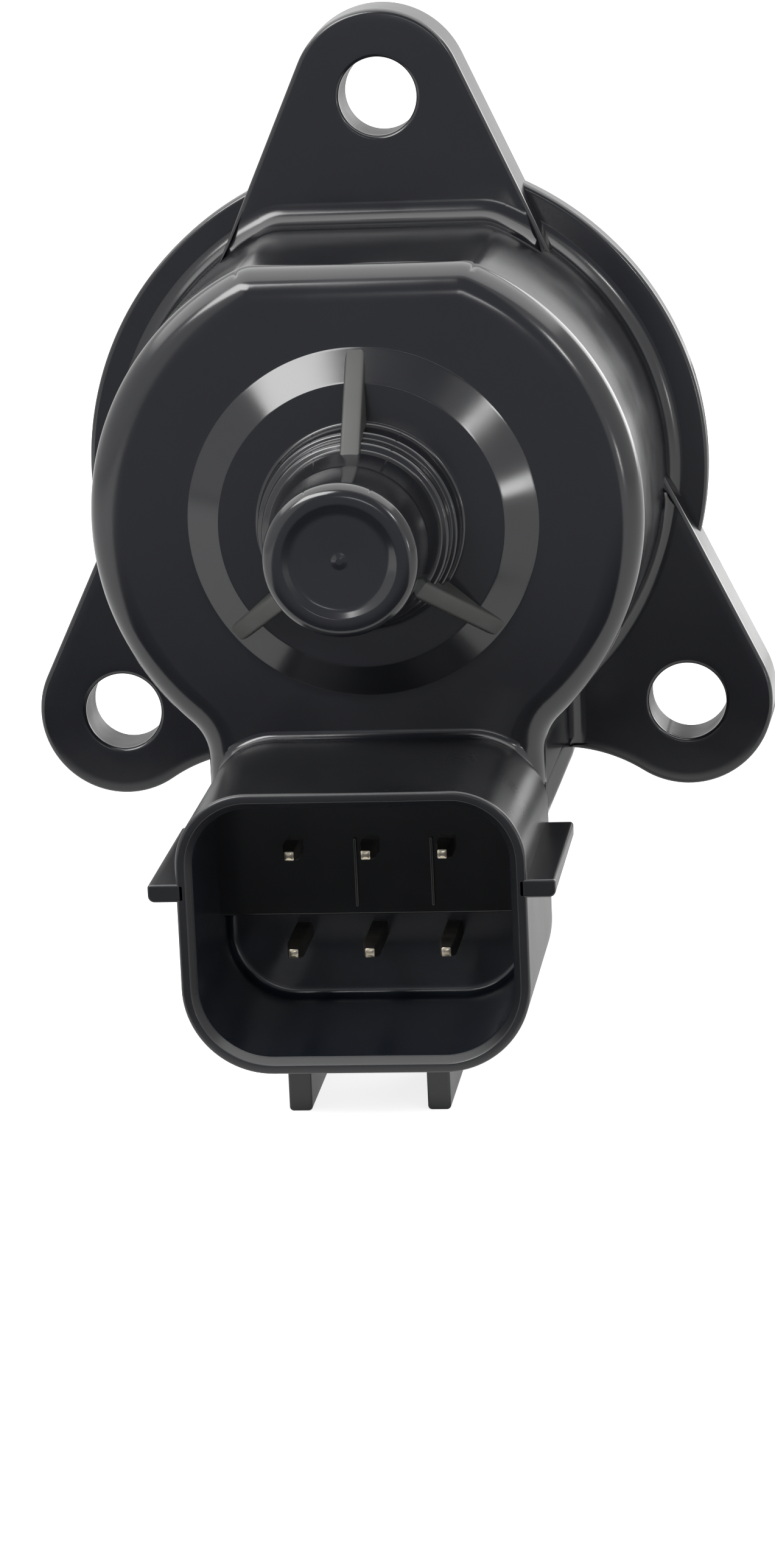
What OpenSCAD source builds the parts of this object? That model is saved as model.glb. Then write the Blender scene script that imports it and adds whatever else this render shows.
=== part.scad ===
// Stepper type idle air control valve for a throttle body.
// One moulded cover carries the fixing ears, the round flange and the six
// way connector. A can-stack stepper motor inside drives a lead screw, and
// the tapered pintle on its end opens and closes the air bypass.
//
// Units are millimetres. The motor axis is Y. The origin lies on that axis at
// the mounting face. +Y runs into the throttle body, -Y out of the cover, and
// +Z points to the single ear, away from the connector.

/* [Mounting] */
// Distance from the motor axis to each fixing hole
hole_radius = 23.8; // [22.8:0.1:26]
// How far the two lower ears sit below the horizontal, in degrees
lower_ear_angle = 40; // [36:0.5:44]
// Diameter of the fixing holes
hole_d = 4.9; // [4.2:0.1:5.6]
// Radius of the rounded end of each ear
ear_end_r = 5.55; // [4.6:0.05:6]
// Thickness of the ears
ear_t = 4; // [3:0.1:5]
// Angle between an ear's centre line and each of its straight edges
ear_taper = 24.2; // [22:0.2:27]
// Slope of the lower edge of the two lower ears
ear_foot_slope = 22; // [18:1:26]

/* [Cover] */
// Radius of the round flange behind the cover
flange_r = 19.85; // [19.4:0.05:20.6]
// Thickness of the flange
flange_t = 1.8; // [1.4:0.1:2.4]
// Radius of the round motor cover at its front edge
cover_r = 16.9; // [16.6:0.1:17.3]
// Height of the cover in front of the mounting face
cover_h = 21; // [20.5:0.1:22]
// Distance from the motor axis to the flat on top of the cover
flat_z = 15.5; // [15.3:0.1:15.9]
// Rounding of the cover's front edge
cover_round = 2; // [1:0.1:2.4]
// How much wider the cover is at the flange than at its front edge
cover_draft = 0.35; // [0:0.05:0.5]
// Fillet between the cover and the flange
root_fillet = 1.2; // [0.4:0.1:1.4]
// Half width of the neck that joins the cover to the connector
neck_half_w = 10.35; // [9.6:0.05:10.6]
// Distance from the motor axis to the underside of the neck
neck_foot = 19.2; // [18.8:0.1:19.6]
// Radius bridged between the round cover and the neck
neck_fillet = 3; // [2:0.2:3.4]

/* [Centre post] */
// Radius of the cone round the centre post, at the cover's front face
cone_r = 10.7; // [10:0.1:11.4]
// Radius of the flat on top of that cone
cone_top_r = 8.7; // [8:0.1:9.2]
// Height of the cone
cone_h = 1.2; // [0.8:0.1:1.6]
// Radius of the closed centre post
post_r = 4.6; // [4.4:0.05:5]
// Height of the post in front of the cover
post_h = 12.5; // [11.5:0.1:14]
// Thickness of the three gussets
gusset_t = 1.2; // [0.8:0.1:1.6]
// Height at which each gusset meets the post
gusset_h = 5.6; // [4:0.1:7]

/* [Connector] */
// Outer width of the connector shell
shell_w = 20.8; // [20:0.1:21.6]
// Distance from the motor axis to the top of the shell
shell_top = 13.45; // [13.2:0.05:13.8]
// Height of the shell, from its top to its bottom
shell_h = 17.15; // [16.6:0.05:18]
// Wall of the shell
shell_wall = 1; // [0.8:0.05:1.2]
// Corner radius of the shell at the top
shell_top_r = 4.4; // [3:0.1:5]
// Corner radius of the shell at the bottom
shell_foot_r = 5.3; // [4.4:0.1:6]
// How far the mouth stands in front of the cover
mouth_h = 14; // [12:0.1:16]
// Depth of the socket
socket_depth = 14.5; // [13:0.1:15]
// Spacing of the terminals along a row
pin_pitch = 4.65; // [4.4:0.05:5]
// Distance from the top of the shell to the upper row
row_drop = 5.75; // [5.6:0.05:6.1]
// Distance between the two rows
row_gap = 6.1; // [5.6:0.05:6.4]
// Height of the step that the upper row stands on, above the floor of the socket
step_h = 4.7; // [3:0.1:5.5]
// Width of the square terminals
pin_w = 1; // [0.8:0.05:1.2]
// Depth of the pin tips inside the mouth
pin_set_back = 7.7; // [6:0.1:9]

/* [Motor] */
// Radius of the bore that holds the stator
cavity_r = 14.3; // [14.1:0.05:14.4]
// Outer radius of the rotor magnet
rotor_r = 7; // [6.6:0.05:7.1]
// Air gap between the rotor and the pole teeth
air_gap = 0.3; // [0.2:0.05:0.4]
// Number of teeth on each pole piece
pole_teeth = 6; // [4:1:6]
// Outer radius of the ball bearing
bearing_outer_r = 8; // [7.9:0.05:8.1]
// Number of balls in the bearing
ball_count = 9; // [7:1:9]

/* [Valve] */
// Radius of the spigot that enters the throttle body
spigot_r = 13.8; // [13.4:0.05:14]
// Length of the spigot
spigot_h = 6.4; // [6:0.1:8]
// Radius of the lead screw
screw_r = 2.2; // [2:0.05:2.3]
// Largest radius of the tapered valve head
pintle_r = 5.6; // [5.2:0.1:5.8]
// Distance from the mounting face to the pintle's spring seat when retracted
pintle_seat_y = 12; // [11.5:0.1:13]
// Length of the pintle in front of its spring seat
pintle_len = 11; // [9:0.1:13]
// Mean radius of the spring
spring_r = 4.95; // [4.9:0.05:5]
// Wire diameter of the spring
spring_wire = 0.7; // [0.5:0.05:0.8]
// Number of turns in the spring
spring_turns = 5; // [4:1:6]

/* [Hidden] */
// Clearance of turning and sliding fits, on the radius
run_gap = 0.05;
// Clearance of pieces that are built in, on every face
fit_gap = 0.02;
// Wall of the cover's end behind the stator
cover_end = 2;
cavity_depth = cover_h - cover_end;
// Arc resolution of the moulded outline and of turned pieces
$fn = 48;
shell_foot = shell_top + shell_h;
shell_rear = cover_h - 2.5;
mouth_y = cover_h + mouth_h;
socket_floor = mouth_y - socket_depth;
row_upper = shell_top + row_drop;
row_lower = row_upper + row_gap;
step_foot = row_upper + 4.2;
post_bore_r = 2.9;
post_end = 1.6;
bush_r = 3.9;
bush_len = 2.4;
hub_journal_r = 3;
end_flange_t = 2;
stack_len = (cavity_depth - end_flange_t - 0.2) / 2;
stator_r = cavity_r - run_gap * 2;
cup_t = 0.9;
tooth_r = rotor_r + air_gap;
bobbin_bore_r = 8.45;
bobbin_core = 0.55;
bobbin_r = 12.9;
winding_r = 12.3;
hub_r = 4.5;
bearing_w = 4;
bearing_inner_r = 4;
ball_r = 1;
ball_pitch_r = (bearing_outer_r + bearing_inner_r) / 2;
bearing_y = -1.8;
race_end = bearing_y + bearing_w;
race_stop_r = bearing_outer_r - 1.3;
nut_gap_r = screw_r + run_gap;
flat_half = 1.7;
nose_r = 3.9;
nose_lip = 1.2;
boss_foot_r = 8.2;
boss_top_r = 7.8;
well_r = 5.8;
guide_foot = 3;
nose_end = 9;
guide_r = 3.1;
spring_floor = 3.6;
// The ring is drawn as its bore squeezes it, a little proud of the spigot
oring_r = 1;
oring_proud = 0.15;
oring_y = 3.1;
groove_half = oring_r + 0.15;
groove_r = spigot_r + oring_proud - 2 * oring_r;
screw_tail = cover_h + post_h - post_end - 1.5;
thread_front = -8.4;
screw_front = 15.5;

// Which sub-part to draw, or all of them

// A rounded corner of a rectangle, for plain outlines
function corner(cx, cz, r, from, steps = 6) = [for (i = [0:steps])
    let (a = from + 90 * i / steps) [cx + r * cos(a), cz + r * sin(a)]];

// Hollow fillet at the foot of the cover, as [depth, outward shift]
function root_rings(from, base) = [for (t = [0:30:90])
    [from + root_fillet * (1 - cos(t)), base + root_fillet * (1 - sin(t))]];

// Section of the cover's wall as [depth, outward shift]: foot, draft and front rounding
round_steps = 4;
function front_rings(r) = [for (i = [0:round_steps]) let (a = 90 * i / round_steps)
    [cover_h - r * (1 - sin(a)), -r * (1 - cos(a))]];
cover_rings = concat([[0, cover_draft]], root_rings(flange_t, cover_draft), front_rings(cover_round));
neck_round = cover_round - 0.2;
neck_rings = concat([[0, cover_draft]], front_rings(neck_round));
// The same fillet in front of the ears, sunk a little into the cover's wall
ear_root_sink = 0.08;
ear_root_rings = concat([[flange_t + 0.4, cover_draft + root_fillet]],
    root_rings(ear_t, cover_draft - ear_root_sink));

// Flat that stands for the fillet between the round wall and the neck: the
// fillet's centre, the flat's normal, its distance and its middle
fillet_x = neck_half_w + neck_fillet;
fillet_z = -sqrt(pow(cover_r + neck_fillet, 2) - pow(fillet_x, 2));
bridge_a = atan2(fillet_z, fillet_x) / 2;
bridge_d = fillet_x * cos(bridge_a) + fillet_z * sin(bridge_a) - neck_fillet * cos(bridge_a) - 0.1;
bridge_t = fillet_z * cos(bridge_a) - fillet_x * sin(bridge_a);

// Each ear as the angles of its centre line and of the normals of its two edges
ear_angles = [90, -lower_ear_angle, 180 + lower_ear_angle];
ear_edges = [[90, 180 - ear_taper, ear_taper],
    [-lower_ear_angle, 90 - lower_ear_angle - ear_taper, -90 - ear_foot_slope],
    [180 + lower_ear_angle, 270 + ear_foot_slope, 90 + lower_ear_angle + ear_taper]];
ear_run = 14;
ear_steps = 22;
function ear_centre(a) = [hole_radius * cos(a), hole_radius * sin(a)];

// Turns a plan drawn in X and Z so that it grows from the mounting face to -Y
module outward(from = 0) {
    translate([0, -from, 0])
        rotate([90, 0, 0])
            children();
}

// Turns a piece drawn along +Z so that it runs along +Y
module along_axis(from = 0) {
    translate([0, from, 0])
        rotate([-90, 0, 0])
            children();
}

// A ring or a disc on the motor axis
module ring(from, len, outer, inner = 0) {
    along_axis(from)
        difference() {
            cylinder(r = outer, h = len);
            if (inner > 0) {
                translate([0, 0, -1])
                    cylinder(r = inner, h = len + 2);
            }
        }
}

// Plan of one ear: the rounded end and two straight edges, each tangent to it
module ear_plan(ear) {
    c = ear_centre(ear[0]);
    n1 = ear[1];
    n2 = ear[2];
    end = [for (i = [0:ear_steps]) let (a = n2 + (n1 - n2) * i / ear_steps)
        c + ear_end_r * [cos(a), sin(a)]];
    polygon(concat(end, [end[ear_steps] + ear_run * [-sin(n1), cos(n1)], [0, 0],
        end[0] + ear_run * [sin(n2), -cos(n2)]]));
}

// Rectangle with its own corner radii at the top and at the foot
module shell_plan(inset) {
    hw = shell_w / 2 - inset;
    rt = shell_top_r - inset;
    rf = shell_foot_r - inset;
    top = -shell_top - inset;
    foot = inset - shell_foot;
    polygon(concat(corner(hw - rt, top - rt, rt, 0), corner(rt - hw, top - rt, rt, 90),
        corner(rf - hw, foot + rf, rf, 180), corner(hw - rf, foot + rf, rf, 270)));
}

// A square blade along a list of points, grown by gap on every face
module blade(path, gap = 0) {
    half = pin_w / 2 + gap;
    for (i = [0:len(path) - 2]) {
        a = path[i];
        b = path[i + 1];
        lo = [min(a[0], b[0]) - half, min(a[1], b[1]) - half, min(a[2], b[2]) - half];
        hi = [max(a[0], b[0]) + half, max(a[1], b[1]) + half, max(a[2], b[2]) + half];
        translate(lo)
            cube(hi - lo);
    }
}

tip_y = pin_set_back - mouth_y;
// Room under the stator for the ends of the terminals
chamber_foot = stator_r + 3.5;
chamber_top = cavity_r - 2.3;
chamber_half = pin_pitch + pin_w / 2 + 1.45;
chamber_rear = 0.8 - cavity_depth;
chamber_front = -end_flange_t - 0.8;
block_foot = stator_r + 0.8;
block_top = winding_r + 0.1;
run_z = -stator_r - 2.4;
lug_w = 1.6;
lug_t = 1.1;
lug_bevel = 0.35;
lug_len = 13.4;
lug_z = row_upper - 0.35;
rail_t = 1.4;
rail_h = 3.65;
rail_len = 11;
rail_front = 4.5 - mouth_y;
bend_half = pin_pitch + pin_w / 2 + 2.15;
bend_foot = row_lower + 2.3;
// Outer ends of the two coil formers and the terminals' risers inside them
bobbin_in = cup_t + 0.2;
riser_in = 1.2;
riser_rear = bobbin_in + riser_in - cavity_depth;
riser_front = -bobbin_in - riser_in - end_flange_t;
// The upper row rises behind the rear bobbin, the lower row runs on to the front one
tip_len = 1.1;
shank_y = tip_y + tip_len + 0.1 + pin_w / 2;
riser_mid = riser_rear + pin_w + 0.8;
function upper_path(x) = [[x, shank_y, -row_upper], [x, riser_rear, -row_upper], [x, riser_rear, -stator_r]];
function lower_path(x) = [[x, shank_y, -row_lower], [x, riser_mid, -row_lower],
    [x, riser_mid, run_z], [x, riser_front, run_z], [x, riser_front, -stator_r]];
pin_x = [-pin_pitch, 0, pin_pitch];

module pin_taper() {
    polygon([[-0.28 * pin_w, 0], [0.28 * pin_w, 0], [pin_w / 2, tip_len], [pin_w / 2, tip_len + 0.2],
        [-pin_w / 2, tip_len + 0.2], [-pin_w / 2, tip_len]]);
}

module terminal(x, upper) {
    path = upper ? upper_path(x) : lower_path(x);
    row = upper ? row_upper : row_lower;
    color("#c9b27c") {
        blade(path);
        // lead-in, tapered on all four sides
        translate([x, tip_y, -row])
            intersection() {
                translate([0, 0, -pin_w])
                    linear_extrude(height = 2 * pin_w)
                        pin_taper();
                rotate([0, 90, 0])
                    translate([0, 0, -pin_w])
                        linear_extrude(height = 2 * pin_w)
                            pin_taper();
            }
    }
}

module ears() {
    for (ear = ear_edges) {
        outward()
            linear_extrude(height = ear_t)
                ear_plan(ear);
    }
}

module ear_holes() {
    for (a = ear_angles) {
        c = ear_centre(a);
        outward(-1)
            translate([c[0], c[1], 0])
                cylinder(d = hole_d, h = ear_t + 2);
        outward(ear_t - 0.3)
            translate([c[0], c[1], 0])
                cylinder(d1 = hole_d, d2 = hole_d + 1.4, h = 0.7);
    }
}

// Wall with an outward normal at angle a in the XZ plane, dist from the motor
// axis, that runs along the wall from t0 to t1 and reaches thick inwards
module wall(rings, a, dist, t0, t1, thick) {
    last = len(rings) - 1;
    rotate([0, -a, 0])
        translate([0, 0, t0])
            linear_extrude(height = t1 - t0)
                polygon(concat([[dist - thick, -rings[0][0]]], [for (r = rings) [dist + r[1], -r[0]]],
                    [[dist - thick, -rings[last][0]]]));
}

// Round wall with its flat on top
module cover_round_wall(rings) {
    last = len(rings) - 1;
    intersection() {
        rotate([90, 0, 0])
            rotate_extrude($fn = 72)
                polygon(concat([[0, rings[0][0]]], [for (r = rings) [cover_r + r[1], r[0]]],
                    [[0, rings[last][0]]]));
        wall(rings, 90, flat_z, -2 * cover_r, 2 * cover_r, 3 * cover_r);
    }
}

module neck() {
    // the two sides are drawn as one block
    last = len(neck_rings) - 1;
    translate([0, 0, -neck_foot])
        linear_extrude(height = neck_foot - 8)
            polygon(concat([for (r = neck_rings) [neck_half_w + r[1], -r[0]]],
                [for (i = [last:-1:0]) [-neck_half_w - neck_rings[i][1], -neck_rings[i][0]]]));
    for (side = [0, 1]) {
        mirror([side, 0, 0])
            wall(neck_rings, bridge_a, bridge_d, bridge_t - 2, bridge_t + 2.4, 4);
    }
}

module ear_roots() {
    intersection() {
        cover_round_wall(ear_root_rings);
        for (ear = ear_edges) {
            outward(flange_t + 0.8)
                linear_extrude(height = ear_t)
                    ear_plan(ear);
        }
    }
}

// Turned shape of the cone, the collars and the closed post
module post_turned() {
    e = post_h;
    rotate([90, 0, 0])
        translate([0, 0, cover_h])
            rotate_extrude()
                polygon([[0, -1], [cone_r + 0.3, -1], [cone_r, 0], [cone_r - 0.7, 0.62],
                    [cone_top_r, cone_h], [6.3, cone_h], [6.1, cone_h + 0.3], [6, 3], [5.7, 3.2],
                    [5.6, 4.2], [5.3, 4.4], [5.2, 5.2], [post_r + 0.3, 5.5], [post_r + 0.15, 6.2],
                    [post_r + 0.05, 6.5], [post_r, e - 0.7], [post_r - 0.2, e - 0.2],
                    [post_r - 0.7, e], [3.6, e], [3.35, e - 0.25], [0, e - 0.25]]);
}

module gussets() {
    for (a = ear_angles) {
        rotate([0, -a, 0])
            translate([0, 0, -gusset_t / 2])
                linear_extrude(height = gusset_t)
                    polygon([[post_r - 1, -cover_h + 0.5], [cone_r, -cover_h + 0.5], [cone_r, -cover_h - 0.1],
                        [post_r, -cover_h - gusset_h], [post_r - 1, -cover_h - gusset_h]]);
    }
}

module connector_shell() {
    outward(shell_rear)
        linear_extrude(height = mouth_y - shell_rear)
            shell_plan(0);
    // keying lugs on both sides, bevelled at their outer edge
    for (side = [0, 1]) {
        mirror([side, 0, 0])
            outward(mouth_y - lug_len)
                linear_extrude(height = lug_len)
                    polygon([[shell_w / 2 - 0.5, -lug_z - lug_t],
                        [shell_w / 2 + lug_w - lug_bevel, -lug_z - lug_t],
                        [shell_w / 2 + lug_w, -lug_z - lug_t + lug_bevel],
                        [shell_w / 2 + lug_w, -lug_z], [shell_w / 2 - 0.5, -lug_z]]);
    }
    // rails that guard the catch under the shell
    for (side = [-1, 1]) {
        translate([side * 4.2 - rail_t / 2, rail_front, -shell_foot - rail_h])
            cube([rail_t, rail_len, rail_h + 0.5]);
    }
    // catch for the plug
    translate([-2, 0, 0])
        rotate([90, 0, 90])
            linear_extrude(height = 4)
                polygon([[rail_front, 0.5 - shell_foot], [rail_front, -shell_foot - 0.3],
                    [rail_front + 3.5, -shell_foot - 2], [rail_front + 4.7, -shell_foot - 2],
                    [rail_front + 4.7, 0.5 - shell_foot]]);
    // block that holds the bends of the lower row
    translate([-bend_half, -shell_rear - 0.5, -bend_foot])
        cube([2 * bend_half, shell_rear + 0.5 + riser_mid + pin_w / 2 + 1, bend_foot - neck_foot + 0.4]);
}

// Room inside the shell, less the step that the upper row stands on
module socket() {
    difference() {
        outward(socket_floor)
            linear_extrude(height = socket_depth + 1)
                shell_plan(shell_wall);
        translate([-shell_w, -socket_floor - step_h, -step_foot])
            cube([2 * shell_w, 2 * step_h, step_foot]);
    }
}

module housing() {
    color("#26282b")
        difference() {
            union() {
                ring(-flange_t, flange_t, flange_r);
                ears();
                ear_roots();
                cover_round_wall(cover_rings);
                neck();
                post_turned();
                gussets();
                connector_shell();
            }
            ear_holes();
            socket();
            // stator bore, rear bush seat and room for the screw's tail
            ring(-cavity_depth, cavity_depth + 1, cavity_r);
            ring(-cavity_depth - bush_len, bush_len + 1, bush_r);
            ring(-cover_h - post_h + post_end, cover_h + post_h - post_end - 1, post_bore_r);
            // chamber under the stator for the ends of the terminals
            translate([-chamber_half, chamber_rear, -chamber_foot])
                cube([2 * chamber_half, chamber_front - chamber_rear, chamber_foot - chamber_top]);
            for (x = pin_x) {
                blade(upper_path(x), fit_gap);
                blade(lower_path(x), fit_gap);
            }
        }
}

module terminal_1() { terminal(pin_x[0], true); }
module terminal_2() { terminal(pin_x[1], true); }
module terminal_3() { terminal(pin_x[2], true); }
module terminal_4() { terminal(pin_x[0], false); }
module terminal_5() { terminal(pin_x[1], false); }
module terminal_6() { terminal(pin_x[2], false); }

module rear_bush() {
    color("#b08d57")
        ring(-cavity_depth - bush_len + fit_gap, bush_len - fit_gap, bush_r - fit_gap, hub_journal_r + run_gap);
}

// One pole piece: a plate with a ring of tapered teeth along +Y
module pole_teeth_ring(from, turn) {
    for (i = [0:pole_teeth - 1]) {
        rotate([0, turn + 360 * i / pole_teeth, 0])
            translate([0, from, tooth_r])
                linear_extrude(height = cup_t)
                    polygon([[-1.6, -0.5], [1.6, -0.5], [0.95, stack_len - 2 * cup_t - 0.3],
                        [-0.95, stack_len - 2 * cup_t - 0.3]]);
    }
}

// Outer cup of one half of the stator, open towards +Y and notched for the terminals
module stator_cup() {
    color("#9a9da0")
        difference() {
            union() {
                ring(0, stack_len, stator_r, stator_r - cup_t);
                ring(0, cup_t, stator_r, tooth_r);
                pole_teeth_ring(cup_t, 0);
            }
            translate([-chamber_half, -1, -stator_r - 1])
                cube([2 * chamber_half, stack_len + 2, stator_r + 1 - chamber_top]);
        }
}

module pole_plate() {
    color("#9a9da0")
        difference() {
            union() {
                ring(0, cup_t, stator_r - cup_t - fit_gap, tooth_r);
                pole_teeth_ring(cup_t, 180 / pole_teeth);
            }
            translate([-chamber_half, -1, -stator_r - 1])
                cube([2 * chamber_half, stack_len, stator_r + 1 - chamber_top]);
        }
}

// Coil former with a terminal block that drops into the chamber
module bobbin() {
    len = stack_len - 2 * cup_t - 0.2;
    color("#d8d2c0")
        difference() {
            union() {
                ring(0, len, bobbin_bore_r + bobbin_core, bobbin_bore_r);
                ring(0, 0.6, bobbin_r, bobbin_bore_r);
                ring(len - 0.6, 0.6, bobbin_r, bobbin_bore_r);
                translate([0.4 - chamber_half, 0, -block_foot])
                    cube([2 * chamber_half - 0.8, 2 * riser_in, block_foot - block_top]);
            }
            for (x = pin_x) {
                translate([x - pin_w / 2 - fit_gap, riser_in - pin_w / 2 - fit_gap, -block_foot - 1])
                    cube([pin_w + 2 * fit_gap, pin_w + 2 * fit_gap, block_foot + 1.1 - stator_r + pin_w / 2]);
            }
        }
}

module winding() {
    len = stack_len - 2 * cup_t - 0.2;
    color("#a8552d")
        ring(0.6 + fit_gap, len - 1.2 - 2 * fit_gap, winding_r, bobbin_bore_r + bobbin_core + fit_gap);
}

// Places a piece of the rear half, drawn from its outer end along +Y
module rear_half() {
    translate([0, -cavity_depth + 0.1, 0])
        children();
}

// Places a piece of the front half, drawn from its outer end, turned end for end
module front_half() {
    translate([0, -end_flange_t - 0.1, 0])
        mirror([0, 1, 0])
            children();
}

module rear_cup() { rear_half() stator_cup(); }
module front_cup() { front_half() stator_cup(); }
module rear_pole_plate() { translate([0, -cavity_depth + 0.1 + stack_len, 0]) mirror([0, 1, 0]) pole_plate(); }
module front_pole_plate() { translate([0, -end_flange_t - 0.1 - stack_len, 0]) pole_plate(); }
module rear_bobbin() { rear_half() translate([0, cup_t + 0.1, 0]) bobbin(); }
module front_bobbin() { front_half() translate([0, cup_t + 0.1, 0]) bobbin(); }
module rear_winding() { rear_half() translate([0, cup_t + 0.1, 0]) winding(); }
module front_winding() { front_half() translate([0, cup_t + 0.1, 0]) winding(); }

// Turned outline of the end cap, with the bearing seat and the spring recess
module end_cap() {
    color("#2b2d30")
        along_axis()
            rotate_extrude()
                polygon([[guide_r, race_end + 0.3], [race_stop_r, race_end + 0.3], [race_stop_r, race_end],
                    [bearing_outer_r + fit_gap, race_end], [bearing_outer_r + fit_gap, -end_flange_t],
                    [cavity_r - run_gap, -end_flange_t], [cavity_r - run_gap, -0.1],
                    [spigot_r, -0.1], [spigot_r, oring_y - groove_half], [groove_r, oring_y - groove_half],
                    [groove_r, oring_y + groove_half], [spigot_r, oring_y + groove_half],
                    [spigot_r, spigot_h - 0.5], [spigot_r - 0.5, spigot_h], [boss_foot_r, spigot_h],
                    [boss_top_r, nose_end - nose_lip], [well_r, nose_end - nose_lip], [well_r, spring_floor],
                    [nose_r, spring_floor], [nose_r, nose_end], [guide_r, nose_end]]);
}

// Bush with a double-D hole that keeps the screw from turning
module guide_bush() {
    color("#b08d57")
        difference() {
            ring(guide_foot, nose_end - guide_foot, guide_r - fit_gap);
            intersection() {
                ring(guide_foot - 1, nose_end, screw_r + run_gap);
                translate([-flat_half - run_gap, guide_foot - 1, -screw_r - 1])
                    cube([2 * (flat_half + run_gap), nose_end, 2 * screw_r + 2]);
            }
        }
}

module o_ring() {
    color("#1b1b1c")
        along_axis(oring_y)
            rotate_extrude()
                translate([groove_r + oring_r, 0])
                    circle(r = oring_r, $fn = 20);
}

module bearing_outer_race() {
    color("#a7aaad")
        difference() {
            ring(bearing_y + fit_gap, bearing_w - 2 * fit_gap, bearing_outer_r, race_stop_r);
            along_axis(bearing_y + bearing_w / 2)
                rotate_extrude()
                    translate([ball_pitch_r, 0])
                        circle(r = ball_r + run_gap, $fn = 24);
        }
}

module bearing_inner_race() {
    color("#a7aaad")
        difference() {
            ring(bearing_y + fit_gap, bearing_w - 2 * fit_gap, bearing_inner_r + 1.3, bearing_inner_r);
            along_axis(bearing_y + bearing_w / 2)
                rotate_extrude()
                    translate([ball_pitch_r, 0])
                        circle(r = ball_r + run_gap, $fn = 24);
        }
}

module bearing_cage() {
    color("#b9a06a")
        difference() {
            ring(bearing_y + bearing_w / 2 - 1.5, 3, ball_pitch_r + 0.35, ball_pitch_r - 0.35);
            for (i = [0:ball_count - 1]) {
                rotate([0, 360 * i / ball_count, 0])
                    translate([0, bearing_y + bearing_w / 2, ball_pitch_r - 1.5])
                        cylinder(r = ball_r + run_gap, h = 3, $fn = 20);
            }
        }
}

module bearing_balls() {
    color("#c4c6c8")
        for (i = [0:ball_count - 1]) {
            rotate([0, 360 * i / ball_count, 0])
                translate([0, bearing_y + bearing_w / 2, ball_pitch_r])
                    sphere(r = ball_r, $fn = 16);
        }
}

// Moulded nut that carries the magnet and turns on the screw
module rotor_hub() {
    color("#cfc8b4")
        along_axis()
            rotate_extrude()
                polygon([[nut_gap_r, -cavity_depth - bush_len + 0.3], [hub_journal_r, -cavity_depth - bush_len + 0.3],
                    [hub_journal_r, -cavity_depth + 0.4], [hub_r, -cavity_depth + 0.4],
                    [hub_r, bearing_y - 0.2], [bearing_inner_r + 0.4, bearing_y - 0.2],
                    [bearing_inner_r + 0.4, bearing_y - fit_gap], [bearing_inner_r - fit_gap, bearing_y - fit_gap],
                    [bearing_inner_r - fit_gap, race_end - 0.2], [nut_gap_r + 0.3, race_end - 0.2],
                    [nut_gap_r + 0.3, thread_front + 0.5], [nut_gap_r, thread_front + 0.2]]);
}

module rotor_magnet() {
    color("#3d3f42")
        ring(-cavity_depth + 1.2, cavity_depth - 4.4, rotor_r, hub_r + fit_gap);
}

module lead_screw() {
    color("#b4b7ba") {
        ring(-screw_tail, screw_tail + thread_front, screw_r);
        intersection() {
            ring(thread_front - 0.5, screw_front - thread_front + 0.5, screw_r);
            translate([-flat_half, thread_front - 1, -4])
                cube([2 * flat_half, screw_front - thread_front + 3, 8]);
        }
    }
}

module pintle() {
    s = pintle_seat_y;
    color("#d9d4c6")
        difference() {
            along_axis()
                rotate_extrude()
                    polygon([[0, s], [pintle_r, s], [pintle_r, s + 1], [pintle_r - 0.7, s + 1.3],
                        [pintle_r - 0.9, s + 3.4], [2.4, s + pintle_len - 0.9],
                        [1.9, s + pintle_len - 0.2], [1.3, s + pintle_len], [0, s + pintle_len]]);
            intersection() {
                ring(s - 1, screw_front - s + 1 + fit_gap, screw_r + fit_gap);
                translate([-flat_half - fit_gap, s - 2, -4])
                    cube([2 * (flat_half + fit_gap), screw_front - s + 2 + fit_gap, 8]);
            }
        }
}

// Coil spring as a swept tube; the end turns lie flat on their seats
module spring() {
    sides = 8;
    per_turn = 20;
    steps = spring_turns * per_turn;
    wire = spring_wire / 2;
    lo = spring_floor + wire + fit_gap;
    hi = pintle_seat_y - wire - fit_gap;
    flat = 0.8;
    function lift(t) = t < flat ? 0 : t > spring_turns - flat ? 1
        : (t - flat) / (spring_turns - 2 * flat);
    points = [for (k = [0:steps]) let (t = k / per_turn, a = 360 * t, y = lo + (hi - lo) * lift(t))
        for (j = [0:sides - 1]) let (b = 360 * j / sides, r = spring_r + wire * cos(b))
            [r * cos(a), y + wire * sin(b), r * sin(a)]];
    faces = concat(
        [for (k = [0:steps - 1], j = [0:sides - 1])
            [k * sides + j, (k + 1) * sides + j, (k + 1) * sides + (j + 1) % sides, k * sides + (j + 1) % sides]],
        [[for (j = [0:sides - 1]) j]],
        [[for (j = [sides - 1:-1:0]) steps * sides + j]]);
    color("#8f9498")
        polyhedron(points, faces, convexity = 8);
}

housing();
terminal_1();
terminal_2();
terminal_3();
terminal_4();
terminal_5();
terminal_6();
rear_bush();
rear_cup();
rear_bobbin();
rear_winding();
rear_pole_plate();
front_pole_plate();
front_bobbin();
front_winding();
front_cup();
end_cap();
guide_bush();
o_ring();
bearing_outer_race();
bearing_inner_race();
bearing_cage();
bearing_balls();
rotor_hub();
rotor_magnet();
lead_screw();
pintle();
spring();
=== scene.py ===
"""Looks of a stepper type idle air control valve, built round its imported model.

Each sub-assembly is a class that holds its sizes in millimetres and builds its own meshes as
surfaces worked out with numpy: rows of points on an outline, one row for each point of a section.
A depth is measured from the mounting face towards the viewer, along -Y.
"""

import logging
import math
from dataclasses import dataclass, field
from enum import Enum, IntEnum
from typing import Sequence

import bpy
import numpy as np
from mathutils import Matrix, Vector


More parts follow.
